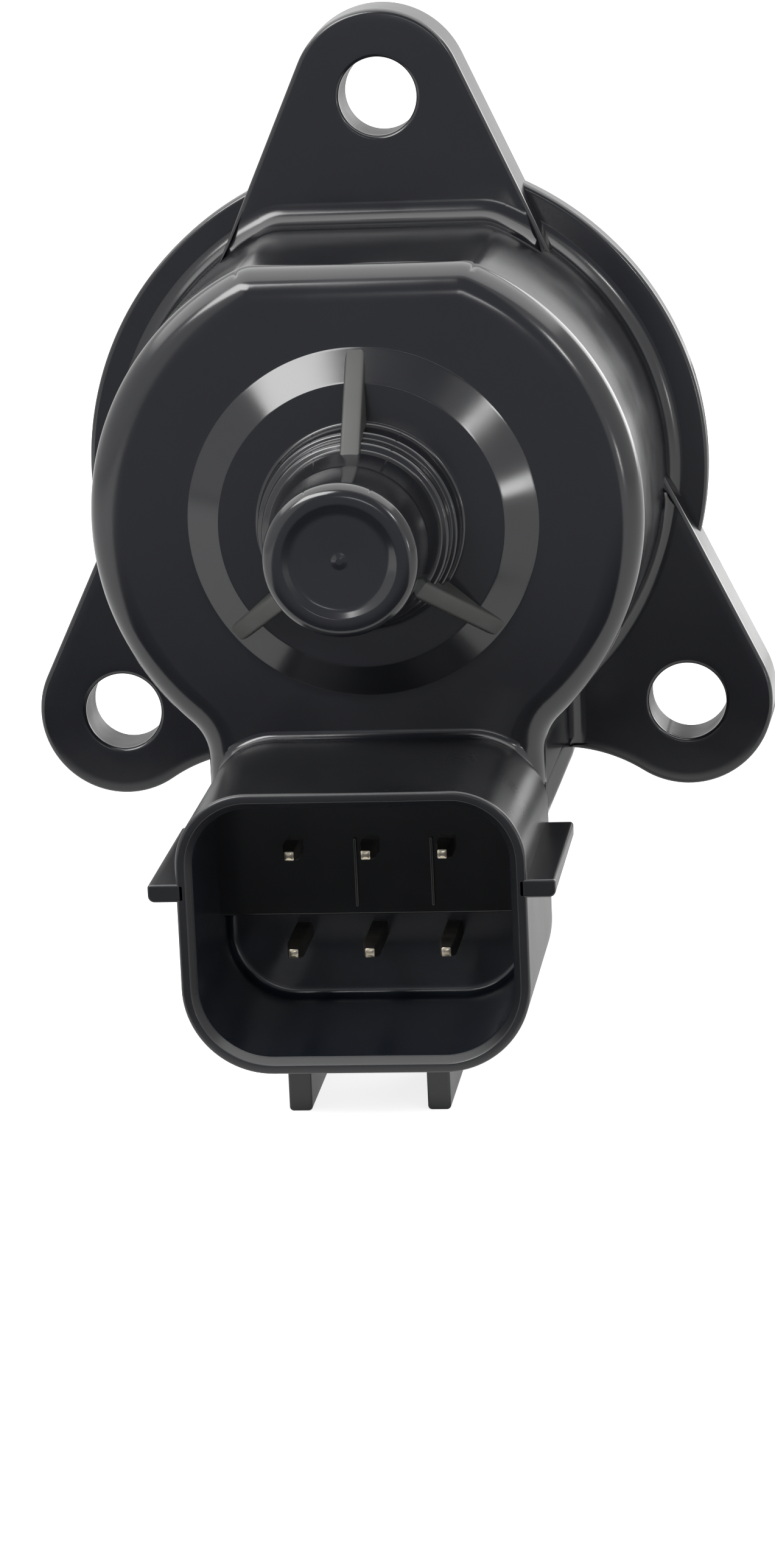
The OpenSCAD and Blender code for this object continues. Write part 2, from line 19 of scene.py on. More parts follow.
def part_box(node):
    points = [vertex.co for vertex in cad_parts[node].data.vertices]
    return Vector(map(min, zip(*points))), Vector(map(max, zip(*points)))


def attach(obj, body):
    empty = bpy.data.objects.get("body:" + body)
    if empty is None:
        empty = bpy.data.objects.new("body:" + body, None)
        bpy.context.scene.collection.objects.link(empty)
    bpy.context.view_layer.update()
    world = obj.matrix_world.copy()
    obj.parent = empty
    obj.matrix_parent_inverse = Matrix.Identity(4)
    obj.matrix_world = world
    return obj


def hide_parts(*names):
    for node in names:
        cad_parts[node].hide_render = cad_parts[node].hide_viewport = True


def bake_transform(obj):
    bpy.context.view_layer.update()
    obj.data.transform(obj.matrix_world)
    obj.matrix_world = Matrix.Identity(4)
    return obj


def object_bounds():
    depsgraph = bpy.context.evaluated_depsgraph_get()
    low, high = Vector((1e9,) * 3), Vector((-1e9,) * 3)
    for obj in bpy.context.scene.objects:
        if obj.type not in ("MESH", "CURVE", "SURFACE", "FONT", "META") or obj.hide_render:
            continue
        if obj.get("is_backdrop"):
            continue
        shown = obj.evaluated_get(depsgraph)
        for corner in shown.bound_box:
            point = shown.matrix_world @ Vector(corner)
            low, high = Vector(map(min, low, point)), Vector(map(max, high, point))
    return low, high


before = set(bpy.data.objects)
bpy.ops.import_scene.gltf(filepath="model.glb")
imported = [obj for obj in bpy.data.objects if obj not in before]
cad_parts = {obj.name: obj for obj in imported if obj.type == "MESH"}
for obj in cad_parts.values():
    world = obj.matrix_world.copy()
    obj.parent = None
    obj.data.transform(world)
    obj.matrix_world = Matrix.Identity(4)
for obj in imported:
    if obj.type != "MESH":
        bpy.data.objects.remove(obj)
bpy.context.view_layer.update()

log = logging.getLogger("valve")
MM = 0.001
FEWEST_ARC_STEPS = 5
SUPPORT_MM = 0.12
Array = np.ndarray


# Outlines, sections and skins

@dataclass(frozen=True)
class Bend:
    """One arc of an outline, given by its centre, radius and first and last direction in degrees."""

    x: float
    z: float
    radius: float
    start: float
    end: float
    hollow: bool = False


@dataclass(frozen=True)
class Outline:
    """A closed line in a plane, as points and outward normals, both of shape (n, 2)."""

    points: Array
    normals: Array

    def grown(self, by: float | Array) -> Array:
        """Returns the points moved outwards by one distance, or by one for each row or point."""
        return self.points + np.asarray(by)[..., None] * self.normals


class Plane(Enum):
    """The plane that an outline is drawn in, and so the way that its slab grows."""

    FRONT = "x and z, growing towards -Y"
    SIDE = "y and z, growing towards +X"


def outline(bends: Sequence[Bend], step: float = 0.35) -> Outline:
    """Joins arcs by straight runs: a point is centre + radius * (cos a, sin a).

    Args:
        bends: the arcs in turning order; a hollow one has its normals towards its centre.
        step: largest distance between two points, in millimetres.

    Returns:
        The closed outline with its outward normals.
    """
    points, normals = [], []
    for bend in bends:
        sweep = math.radians(abs(bend.end - bend.start)) * bend.radius
        count = max(math.ceil(sweep / step), FEWEST_ARC_STEPS) + 1
        angle = np.radians(np.linspace(bend.start, bend.end, count))
        ray = np.stack([np.cos(angle), np.sin(angle)], axis=1)
        points.append(np.array([bend.x, bend.z]) + bend.radius * ray)
        normals.append(-ray if bend.hollow else ray)
    joined, facing = [], []
    for index, arc in enumerate(points):
        following = points[(index + 1) % len(points)][0]
        count = max(math.ceil(np.linalg.norm(following - arc[-1]) / step), 1)
        share = np.linspace(0, 1, count + 1)[1:-1, None]
        joined += [arc, arc[-1] + share * (following - arc[-1])]
        facing += [normals[index], np.repeat(normals[index][-1:], len(share), axis=0)]
    return Outline(np.concatenate(joined), np.concatenate(facing))


def corner_bends(corners: Sequence[tuple[float, float, float]]) -> list[Bend]:
    """Turns a polygon with a radius at each corner into arcs.

    The centre lies at corner - radius * (n1 + n2) / (1 + n1.n2), n1 and n2 being the normals of
    the edges before and after the corner; a hollow corner has it on the other side.

    Args:
        corners: x, z and radius of each corner, anticlockwise.

    Returns:
        One arc for each corner.
    """
    table = np.array(corners, float)
    edge = np.roll(table[:, :2], -1, axis=0) - table[:, :2]
    edge /= np.linalg.norm(edge, axis=1, keepdims=True)
    after = np.stack([edge[:, 1], -edge[:, 0]], axis=1)
    before = np.roll(after, 1, axis=0)
    cross = before[:, 0] * after[:, 1] - before[:, 1] * after[:, 0]
    turn = np.arctan2(cross, (before * after).sum(1))
    side = np.where(turn >= 0, 1.0, -1.0)
    reach = (before + after) / (1 + (before * after).sum(1, keepdims=True))
    centre = table[:, :2] - side[:, None] * table[:, 2:] * reach
    start = np.degrees(np.arctan2(before[:, 1], before[:, 0])) + np.where(side < 0, 180, 0)
    return [Bend(*centre[i], table[i, 2], start[i], start[i] + math.degrees(turn[i]), side[i] < 0)
            for i in range(len(table))]


def upright(left: float, right: float, foot: float, top: float, foot_r: float, top_r: float,
            step: float = 0.35) -> Outline:
    """Draws a rectangle with round corners.

    Args:
        left: x of its left side.
        right: x of its right side.
        foot: z of its foot.
        top: z of its top.
        foot_r: radius of both corners at the foot.
        top_r: radius of both corners at the top.
        step: largest distance between two points.

    Returns:
        The outline, anticlockwise from the right end of the foot.
    """
    return outline(corner_bends([
        (right, foot, foot_r), (right, top, top_r), (left, top, top_r), (left, foot, foot_r)]), step)


def section(corners: Sequence[tuple[float, float, float]], turn_step: float = 10.0) -> Array:
    """Rounds the corners of an open line, and adds a point close to each end of a straight run.

    The added points, SUPPORT_MM from the ends, keep the smooth shading of a corner off the flat.
    Between the two tangent points of a corner it follows centre + radius * (cos a, sin a).

    Args:
        corners: the two coordinates and the radius of each corner; the ends have no radius.
        turn_step: largest turn between two points of an arc, in degrees.

    Returns:
        Points of shape (m, 2).
    """
    nearly_straight = math.radians(179)
    place = np.array(corners, float)
    line = [place[0, :2]]
    for i in range(1, len(place) - 1):
        corner, radius = place[i, :2], place[i, 2]
        back = place[i - 1, :2] - corner
        ahead = place[i + 1, :2] - corner
        back, ahead = back / np.linalg.norm(back), ahead / np.linalg.norm(ahead)
        opening = math.acos(float(np.clip(back @ ahead, -1, 1)))
        if radius == 0 or opening > nearly_straight:
            line.append(corner)
            continue
        reach = radius / math.tan(opening / 2)
        between = (back + ahead) / np.linalg.norm(back + ahead)
        middle = corner + between * radius / math.sin(opening / 2)
        first, last = corner + back * reach - middle, corner + ahead * reach - middle
        start = math.atan2(first[1], first[0])
        sweep = math.atan2(first[0] * last[1] - first[1] * last[0], float(first @ last))
        count = max(math.ceil(math.degrees(abs(sweep)) / turn_step), 2) + 1
        angle = np.linspace(start, start + sweep, count)
        line += list(middle + radius * np.stack([np.cos(angle), np.sin(angle)], axis=1))
    line.append(place[-1, :2])
    spread = [line[0]]
    for here, there in zip(line[:-1], line[1:]):
        gap = float(np.linalg.norm(there - here))
        if gap > 4 * SUPPORT_MM:
            nudge = (there - here) * SUPPORT_MM / gap
            spread += [here + nudge, there - nudge]
        spread.append(there)
    return np.array(spread)


@dataclass
class Skin:
    """Points and faces of one closed surface, in millimetres."""

    points: Array
    faces: list[list[int]]
    finishes: list[int] = field(default_factory=list)

    def in_finish(self, index: int) -> "Skin":
        """Returns the skin with all its faces in one of the piece's finishes."""
        self.finishes = [index] * len(self.faces)
        return self

    def turned_out(self) -> "Skin":
        """Turns the faces outwards where the volume that they close comes out negative.

        A triangle a, b, c adds a . (b x c), and a four sided face counts as two triangles.

        Returns:
            The skin itself.
        """
        volume = 0.0
        for size in (3, 4):
            chosen = np.array([f for f in self.faces if len(f) == size], int)
            for last in range(2, size if len(chosen) else 0):
                a, b, c = (self.points[chosen[:, k]] for k in (0, last - 1, last))
                volume += float((a * np.cross(b, c)).sum())
        if volume < 0:
            self.faces = [face[::-1] for face in self.faces]
        return self


def skin(rows: Array, wrap_rows: bool = False, finishes: Sequence[int] | None = None) -> Skin:
    """Covers rows of points with four sided faces, each row being closed on itself.

    Args:
        rows: points of shape (m, n, 3).
        wrap_rows: joins the last row to the first, as on a ring; otherwise both ends are closed
            by a fan round their middle.
        finishes: material index of the faces that follow each row.

    Returns:
        The closed surface, facing outwards.
    """
    m, n = rows.shape[:2]
    index = np.arange(m * n).reshape(m, n)
    low = index if wrap_rows else index[:-1]
    high = np.roll(index, -1, axis=0) if wrap_rows else index[1:]
    quads = np.stack([low, np.roll(low, -1, axis=1), np.roll(high, -1, axis=1), high], axis=-1)
    kinds = np.zeros(len(low), int) if finishes is None else np.array(finishes)[: len(low)]
    faces = quads.reshape(-1, 4).tolist()
    marks = np.repeat(kinds, n).tolist()
    points = rows.reshape(-1, 3)
    if not wrap_rows:
        points = np.concatenate([points, rows[:1].mean(1), rows[-1:].mean(1)])
        ends = np.stack([np.full(n, m * n), np.roll(index[0], -1), index[0]], axis=1)
        tops = np.stack([np.full(n, m * n + 1), index[-1], np.roll(index[-1], -1)], axis=1)
        faces += ends.tolist() + tops.tolist()
        marks += [int(kinds[0])] * n + [int(kinds[-1])] * n
    return Skin(points, faces, marks).turned_out()


def rows_of(plan: Array, depth: Array) -> Array:
    """Stacks plans of shape (m, n, 2), each at its own depth in front of the mounting face."""
    depth = np.broadcast_to(np.asarray(depth, float)[:, None], plan.shape[:2])
    return np.stack([plan[..., 0], -depth, plan[..., 1]], axis=-1)


def swept(plan: Outline, line: Array) -> Array:
    """Carries an outline along a section of (growth, depth): a row is the outline grown, at its depth."""
    return rows_of(plan.grown(line[:, :1]), line[:, 1])


def lathe(line: Array, count: int = 160) -> Skin:
    """Turns a section of (radius, y) about the motor axis: x = r cos a, z = r sin a.

    Args:
        line: section points of shape (m, 2); a line that ends where it starts makes a ring.
        count: points round the axis.

    Returns:
        The closed surface.
    """
    ring_like = bool(np.allclose(line[0], line[-1]))
    if ring_like:
        line = line[:-1]
    angle = np.linspace(0, 2 * np.pi, count, endpoint=False)
    radius = np.maximum(line[:, :1], 1e-3)
    height = np.broadcast_to(line[:, 1:], (len(line), count))
    return skin(np.stack([radius * np.cos(angle), height, radius * np.sin(angle)], axis=-1), ring_like)


def slab(plan: Outline, low: float, high: float, rounding: float,
         plane: Plane = Plane.FRONT) -> Skin:
    """Grows an outline into a block whose two faces meet its sides in a small radius.

    Args:
        plan: outline whose corners are no tighter than the rounding.
        low: first depth in front of the mounting face, or first x on a side plane.
        high: last depth or x.
        rounding: radius of the edges round both faces.
        plane: plane that the outline is drawn in.

    Returns:
        The closed surface.
    """
    inner = -rounding - 0.07
    line = section([(inner, low, 0), (0, low, rounding), (0, high, rounding), (inner, high, 0)], 30)
    rows = swept(plan, line)
    if plane is Plane.SIDE:
        rows = np.stack([-rows[..., 1], rows[..., 0], rows[..., 2]], axis=-1)
    return skin(rows)


def add_object(name: str, data: bpy.types.ID) -> bpy.types.Object:
    """Adds an object for a mesh, light or camera to the scene.

    Args:
        name: name of the object.
        data: what it shows.

    Returns:
        The object, at the origin.
    """
    made = bpy.data.objects.new(name, data)
    bpy.context.scene.collection.objects.link(made)
    return made


def make_piece(name: str, skins: Sequence[Skin], materials: Sequence[bpy.types.Material],
               crease: float = 42.0) -> bpy.types.Object:
    """Puts skins into one mesh object at the origin.

    Args:
        name: name of the piece.
        skins: closed surfaces in millimetres.
        materials: materials in the order that the skins' finishes count them.
        crease: angle in degrees above which an edge stays sharp.

    Returns:
        The object, smooth shaded.
    """
    start, points, faces, marks = 0, [], [], []
    for part in skins:
        points.append(part.points)
        faces += [[i + start for i in face] for face in part.faces]
        marks += part.finishes
        start += len(part.points)
    mesh = bpy.data.meshes.new(name)
    mesh.from_pydata((np.concatenate(points) * MM).tolist(), [], faces)
    for material in materials:
        mesh.materials.append(material)
    mesh.polygons.foreach_set("material_index", marks)
    mesh.polygons.foreach_set("use_smooth", [True] * len(faces))
    mesh.set_sharp_from_angle(angle=math.radians(crease))
    mesh.update()
    log.info("%s: %d faces", name, len(faces))
    return add_object(name, mesh)


# Materials

def linear(hex_colour: str) -> tuple[float, float, float, float]:
    """Turns an sRGB colour into a linear one: v / 12.92 below 0.04045, ((v + 0.055) / 1.055)^2.4 above.

    Args:
        hex_colour: the colour, such as "#15161a".

    Returns:
        Red, green, blue and full opacity.
    """
    value = np.array([int(hex_colour[i:i + 2], 16) for i in (1, 3, 5)]) / 255
    low, high = value / 12.92, ((value + 0.055) / 1.055) ** 2.4
    return (*np.where(value <= 0.04045, low, high).tolist(), 1.0)


def add_node(tree: bpy.types.NodeTree, kind: str, settings: dict | None = None,
             inputs: dict | None = None) -> bpy.types.Node:
    """Adds a node with its settings, input values and links.

    Args:
        tree: tree to add to.
        kind: type name of the node, without the ShaderNode in front of it.
        settings: attributes of the node.
        inputs: values by input name or number; an output socket is linked.

    Returns:
        The new node.
    """
    node = tree.nodes.new("ShaderNode" + kind)
    for name, value in (settings or {}).items():
        setattr(node, name, value)
    for name, value in (inputs or {}).items():
        if isinstance(value, bpy.types.NodeSocket):
            tree.links.new(value, node.inputs[name])
        else:
            node.inputs[name].default_value = value
    return node


def empty_tree(owner: bpy.types.Material | bpy.types.World) -> bpy.types.NodeTree:
    """Turns on the nodes of a material or world and clears them away.

    Args:
        owner: the material or world.

    Returns:
        Its empty tree.
    """
    owner.use_nodes = True
    owner.node_tree.nodes.clear()
    return owner.node_tree


@dataclass(frozen=True)
class Finish:
    """A material with a fine grain and a slow drift of its gloss.

    grain_mm is the size of the surface's bumps and drift_mm that of the patches in which the
    gloss and the shade change.
    """

    name: str
    colour: str
    shade: str
    roughness: tuple[float, float]
    grain_mm: float
    bump_mm: float
    drift_mm: float = 6.0
    metallic: float = 0.0
    ior: float = 1.5
    stretch: tuple[float, float, float] = (1.0, 1.0, 1.0)

    def build(self) -> bpy.types.Material:
        """Makes the node tree: two noises on Object coordinates drive colour, gloss and bump.

        Returns:
            The material.
        """
        material = bpy.data.materials.new(self.name)
        tree = empty_tree(material)
        place = add_node(tree, "TexCoord").outputs["Object"]
        turned = add_node(tree, "Mapping", {}, {"Vector": place, "Scale": self.stretch})
        drift = add_node(tree, "TexNoise", {}, {
            "Vector": turned.outputs[0], "Scale": 1 / (self.drift_mm * MM), "Detail": 3.0})
        grain = add_node(tree, "TexNoise", {}, {
            "Vector": turned.outputs[0], "Scale": 1 / (self.grain_mm * MM), "Detail": 2.0})
        gloss = add_node(tree, "MapRange", {}, {
            "Value": drift.outputs[0], "From Min": 0.35, "From Max": 0.65,
            "To Min": self.roughness[0], "To Max": self.roughness[1]})
        colour = add_node(tree, "Mix", {"data_type": "RGBA"}, {
            0: drift.outputs[0], 6: linear(self.colour), 7: linear(self.shade)})
        bump = add_node(tree, "Bump", {}, {
            "Height": grain.outputs[0], "Strength": 1.0, "Distance": self.bump_mm * MM})
        shader = add_node(tree, "BsdfPrincipled", {}, {
            "Base Color": colour.outputs[2], "Roughness": gloss.outputs[0],
            "Normal": bump.outputs[0], "Metallic": self.metallic})
        if not self.metallic:
            shader.inputs["IOR"].default_value = self.ior
        add_node(tree, "OutputMaterial", {}, {"Surface": shader.outputs[0]})
        return material


class Finishes:
    """The finishes of the valve, each named for its material and how its surface was made, or for the light
    or shade painted into it.
    """

    # glass filled PBT from a polished tool: nearly black, with a wet looking skin
    POLISHED_PBT = Finish("polished_glass_filled_pbt", "#15161a", "#191a1e", (0.13, 0.19), 0.5, 0.0005,
                          ior=1.57)
    # the same resin on spark eroded tool faces: a satin bloom on the socket's walls, lugs and rails
    SATIN_PBT = Finish("spark_eroded_pbt", "#131417", "#191a1d", (0.27, 0.31), 0.5, 0.0001, 6.0, ior=1.57)
    # the same resin on the socket's pocket below the step: bluish black, half gloss; its lighter, bluish
    # colour is painted light, standing in for the light that the pocket takes in
    LIT_POCKET_PBT = Finish("painted_light_pocket_pbt", "#171b22", "#1a1e25", (0.17, 0.22), 0.4, 0.0006, 3.0, ior=1.57)
    # the same resin on the step deep in the socket, the deepest black of the moulding: painted shade, this
    # darker colour standing in for the shade deep in the socket
    PAINTED_SHADE_PBT = Finish("painted_shade_pbt", "#090b0b", "#0b0d0e", (0.13, 0.17), 0.4, 0.0004, 3.0, ior=1.57)
    # the same resin in the ear holes, scuffed by the core pins
    SCUFFED_PBT = Finish("core_pin_scuffed_pbt", "#1d1e20", "#242527", (0.42, 0.5), 0.2, 0.003, 2.0,
                         ior=1.57)
    # the same resin on the gussets and the socket's floor ribs, pale and matte: painted highlight, the pale
    # colour standing in for the light that they catch
    PAINTED_HIGHLIGHT_PBT = Finish("painted_highlight_rib_edge_pbt", "#2c2e2b", "#343632", (0.42, 0.52), 0.22, 0.006, 2.5, ior=1.57)
    # tin over bronze strip, a warm grey metal with soft edges from the plating
    TINNED_BRONZE = Finish("tin_plated_bronze", "#d0c8b6", "#bdb39d", (0.2, 0.32), 0.3, 0.002, 1.5, 1.0)
    # the same strip, darker and duller, on the blades behind their tips: painted shade, against which the
    # bright tin at the tip is a painted highlight
    SHADED_TIN = Finish("painted_shade_tin", "#85827c", "#6f6c66", (0.42, 0.55), 0.2, 0.003, 1.2, 1.0)
    # sintered bronze: a dull, open grain
    SINTERED_BRONZE = Finish("sintered_bronze", "#9a7b4c", "#80643c", (0.42, 0.58), 0.18, 0.012, 1.2, 1.0)
    # zinc plated deep drawn steel: a cool, slightly milky metal
    ZINC_STEEL = Finish("zinc_plated_drawn_steel", "#a9adb2", "#989ca3", (0.28, 0.42), 0.5, 0.003, 3.0, 1.0)
    # natural glass filled nylon: cream, with a dull skin
    NATURAL_NYLON = Finish("natural_moulded_nylon", "#d5cdb8", "#cbc1a9", (0.4, 0.5), 0.4, 0.006, ior=1.53)
    # enamelled copper wire in even turns, drawn as fine rings across the coil
    ENAMELLED_COPPER = Finish("enamelled_copper_wire", "#a65a30", "#7d3d1d", (0.22, 0.34), 0.35, 0.05, 1.0,
                              1.0, stretch=(0.02, 3.0, 0.02))
    # black glass filled PBT off the tool: a plain satin
    MOULDED_PBT = Finish("satin_moulded_pbt", "#1d1e21", "#232427", (0.32, 0.42), 0.3, 0.005, 4.0, ior=1.57)
    # oiled nitrile rubber
    OILED_NITRILE = Finish("oiled_nitrile_rubber", "#111112", "#171718", (0.3, 0.45), 0.5, 0.004, 2.0,
                           ior=1.52)
    # ground and lapped bearing steel, with fine turned lines
    GROUND_STEEL = Finish("ground_bearing_steel", "#b9bbbe", "#adafb3", (0.1, 0.2), 0.12, 0.001, 2.0, 1.0,
                          stretch=(0.1, 1.0, 0.1))
    # pressed brass strip
    PRESSED_BRASS = Finish("pressed_brass_strip", "#b3924f", "#9c7d40", (0.25, 0.38), 0.5, 0.003, 2.0, 1.0)
    # sintered ferrite: charcoal grey with a ground, slightly sparkling skin
    GROUND_FERRITE = Finish("ground_sintered_ferrite", "#3a3b3e", "#2e2f32", (0.36, 0.5), 0.15, 0.008, 1.5,
                            ior=2.2)
    # rolled screw steel
    ROLLED_STEEL = Finish("thread_rolled_steel", "#a6a9ac", "#95989c", (0.2, 0.32), 0.25, 0.003, 2.0, 1.0)
    # heat resistant PPS for the valve head, moulded, warm cream
    MOULDED_PPS = Finish("moulded_pps", "#c9bfa6", "#bdb297", (0.36, 0.46), 0.35, 0.006, 3.0, ior=1.6)
    # cold drawn spring wire with faint lengthwise lines
    DRAWN_WIRE = Finish("cold_drawn_spring_wire", "#8d9196", "#7c8085", (0.24, 0.36), 0.2, 0.003, 1.5, 1.0)

    def __init__(self) -> None:
        """Builds every finish once, so that pieces share them."""
        self.built = {finish.name: finish.build() for finish in vars(type(self)).values()
                      if isinstance(finish, Finish)}

    def of(self, finish: Finish) -> bpy.types.Material:
        """Returns the built material of a finish."""
        return self.built[finish.name]


# The moulded cover

def direction(angle: float) -> Array:
    """Returns the unit vector at an angle in degrees, in the plane of x and z."""
    return np.array([math.cos(math.radians(angle)), math.sin(math.radians(angle))])


@dataclass
class CoverMoulding:
    """The black moulding: cover, flange, ears, centre post and gussets."""

    hole_radius: float = 23.8
    hole_r: float = 2.45
    hole_edge: float = 0.25
    back_bevel: float = 0.1
    # just short of the flange's back, so that two faces don't share one plane
    ear_back: float = 0.01
    ear_angles: tuple[float, float, float] = (90.0, -40.0, 220.0)
    ear_end_r: float = 5.55
    ear_t: float = 4.0
    ear_draft: float = 0.13
    ear_taper: float = 24.2
    ear_foot_slope: float = 33.4
    ear_foot_z: float = 18.33
    edge_r: float = 0.22
    flange_r: float = 19.85
    flange_t: float = 1.8
    cover_r: float = 16.9
    cover_h: float = 21.0
    cover_draft: float = 0.35
    cover_round: float = 2.0
    front_fall: float = 0.26
    front_edge_r: float = 1.85
    root_fillet: float = 1.25
    fillet_end_r: float = 18.95
    fillet_fade: float = 0.8
    root_legs: tuple[float, float, float] = (1.45, 1.05, 1.05)
    flat_z: float = 15.5
    flat_blend: float = 2.3
    neck_half: float = 10.35
    neck_fillet: float = 3.0
    neck_foot: float = 19.2
    foot_corner: float = 2.3
    foot_block_h: float = 2.8
    foot_block_r: float = 0.5
    foot_block_front: float = 19.6
    cavity_r: float = 14.3
    cavity_depth: float = 19.0
    bush_seat_r: float = 3.9
    bush_seat_depth: float = 2.4
    post_bore_r: float = 2.9
    post_end_wall: float = 1.6
    post_r: float = 4.6
    post_h: float = 12.5
    cone_r: float = 10.7
    cone_top_r: float = 8.7
    cone_h: float = 1.2
    gusset_t: float = 1.2
    gusset_h: float = 5.6

    def cover_outline(self) -> Outline:
        """Draws the round cover with its flat on top and the neck below, as arcs.

        Returns:
            The outline of the cover's front edge, without draft.
        """
        inner = self.cover_r - self.flat_blend
        cz = self.flat_z - self.flat_blend
        cx = math.sqrt(inner**2 - cz**2)
        meet = math.degrees(math.atan2(cz, cx))
        fx = self.neck_half + self.neck_fillet
        fz = -math.sqrt((self.cover_r + self.neck_fillet) ** 2 - fx**2)
        low = math.degrees(math.atan2(fz, fx))
        foot_r = self.foot_corner
        foot_x, foot_z = self.neck_half - foot_r, foot_r - self.neck_foot
        return outline([
            Bend(0, 0, self.cover_r, low, meet),
            Bend(cx, cz, self.flat_blend, meet, 90),
            Bend(-cx, cz, self.flat_blend, 90, 180 - meet),
            Bend(0, 0, self.cover_r, 180 - meet, 180 - low),
            Bend(-fx, fz, self.neck_fillet, -low, 0, True),
            Bend(-foot_x, foot_z, foot_r, 180, 270),
            Bend(foot_x, foot_z, foot_r, 270, 360),
            Bend(fx, fz, self.neck_fillet, 180, 180 + low, True),
        ])

    def wall_section(self) -> Array:
        """Works out the cover's wall from its front edge to the back.

        The root's fillet is a quarter circle: depth R * (1 - cos a) and shift R * (1 - sin a).

        Returns:
            Depth, draft and the fillet's shift of each row, of shape (m, 3).
        """
        front = section([
            (-self.cover_round, self.cover_h, 0), (0, self.cover_h - self.front_fall, self.front_edge_r),
            (self.cover_draft, self.flange_t + self.root_fillet, 0)], 7)
        count = 10
        turn = np.radians(np.linspace(90, 0, count))
        depth = self.flange_t - 0.02 + self.root_fillet * (1 - np.cos(turn))
        root = self.root_fillet * (1 - np.sin(turn))
        foot = np.stack([depth, np.full(count, self.cover_draft), root], axis=1)
        wall = np.stack([front[:, 1], front[:, 0], np.zeros(len(front))], axis=1)
        ends = np.array([[0.9, self.cover_draft, self.root_fillet], [0.05, self.cover_draft, 0]])
        return np.concatenate([wall[:-1], foot, ends])

    def post_section(self) -> Array:
        """Works out the post's dished end, its side, the steps at its foot and the cone.

        Returns:
            Radius and height above the cover of each point, of shape (m, 2).
        """
        end = self.post_h
        dish = end - 0.26
        return section([
            (0, dish + 0.05, 0), (0.2, dish + 0.05, 0.1), (0.5, dish - 0.04, 0.2),
            (2.9, dish + 0.02, 0.8), (3.4, end, 0.3), (self.post_r, end, 0.85),
            (self.post_r + 0.06, 7.0, 1.5),
            (5.12, 4.95, 0.5), (5.2, 4.35, 0.15), (5.65, 4.2, 0.28), (5.7, 3.1, 0.1),
            (6.05, 3.0, 0.24), (6.2, self.cone_h, 0.25), (self.cone_top_r, self.cone_h, 0.1),
            (self.cone_r, 0, 0.1), (self.cone_r + 0.5, 0, 0)], 12)

    def body(self) -> Skin:
        """Builds cover, post and cavity as one skin whose rows all follow the cover's outline.

        A row on a turned part lies at radius * (direction of the outline's point); a row on the
        wall lies at point + shift * normal; the flat front runs straight from one to the other. The
        root's fillet fades out down the neck, where the outline is far from the axis.

        Returns:
            The closed surface.
        """
        plan = self.cover_outline()
        reach = np.linalg.norm(plan.points, axis=1)
        ray = plan.points / reach[:, None]
        flare = np.clip((self.fillet_end_r - reach) / self.fillet_fade, 0, 1)
        flare = flare * flare * (3 - 2 * flare)
        post = self.post_section()
        turned = rows_of(post[:, :1, None] * ray[None], self.cover_h + post[:, 1])
        rim = plan.grown(-self.cover_round)
        edge = post[-1, 0] * ray
        share = np.array([0.03, 0.3, 0.6, 0.85, 0.97])[:, None, None]
        face = rows_of(edge + share * (rim - edge), np.full(len(share), self.cover_h))
        wall = self.wall_section()
        shift = wall[:, 1, None] + wall[:, 2, None] * flare[None]
        sides = rows_of(plan.grown(shift), wall[:, 0])
        seat = self.cavity_depth + self.bush_seat_depth
        end = self.cover_h + self.post_h - self.post_end_wall
        hollow = section([
            (self.cavity_r, 0.05, 0), (self.cavity_r, self.cavity_depth, 0.3),
            (self.bush_seat_r, self.cavity_depth, 0.1), (self.bush_seat_r, seat, 0.1),
            (self.post_bore_r, seat, 0.1), (self.post_bore_r, end, 0.2), (0, end, 0)], 20)
        inside = rows_of(hollow[:, :1, None] * ray[None], hollow[:, 1])
        return skin(np.concatenate([turned, face, sides, inside]))

    def neck_foot_block(self) -> Skin:
        """Builds the square foot of the neck behind the connector, as a rectangle grown by the draft.

        The draft rises evenly from nothing at the front to its full value near the flange.

        Returns:
            The closed surface.
        """
        w, foot, r = self.neck_half, -self.neck_foot, self.foot_block_r
        plan = upright(-w, w, foot, foot + self.foot_block_h, r, r)
        full, inner = self.cover_draft + 0.01, 0.05 - r
        front, root, back = self.foot_block_front, self.flange_t + self.root_fillet, 0.06
        line = section([
            (inner, front, 0), (0.03, front, 0.05), (full, root, 0), (full, back, 0.05), (inner, back, 0)])
        return skin(swept(plan, line))

    def flange(self) -> Skin:
        """Builds the round flange as a ring with a small radius on both outer edges.

        Returns:
            The closed surface.
        """
        r, t = self.flange_r, self.flange_t
        inner = self.cavity_r + 0.02
        return lathe(section([
            (inner, -t + 0.3, 0), (inner + 0.6, -t, 0), (r, -t, 0.3), (r, 0, 0.2), (inner, 0, 0.05),
            (inner, -t + 0.3, 0)], 15), 240)

    def ear_edges(self, angle: float) -> list[tuple[float, float]]:
        """Works out an ear's two edges; the foot of a lower ear is level where it meets the neck.

        Args:
            angle: the direction of the ear's hole from the axis, in degrees.

        Returns:
            The angle of each edge's normal and its distance from the axis.
        """
        taper = [angle - 90 + self.ear_taper, angle + 90 - self.ear_taper]
        reach = self.hole_radius * math.sin(math.radians(self.ear_taper)) + self.ear_end_r
        if angle == 90:
            return [(taper[0], reach), (taper[1], reach)]
        if angle < 90:
            return [(-90.0, self.ear_foot_z), (taper[1], reach)]
        return [(taper[0], reach), (270.0, self.ear_foot_z)]

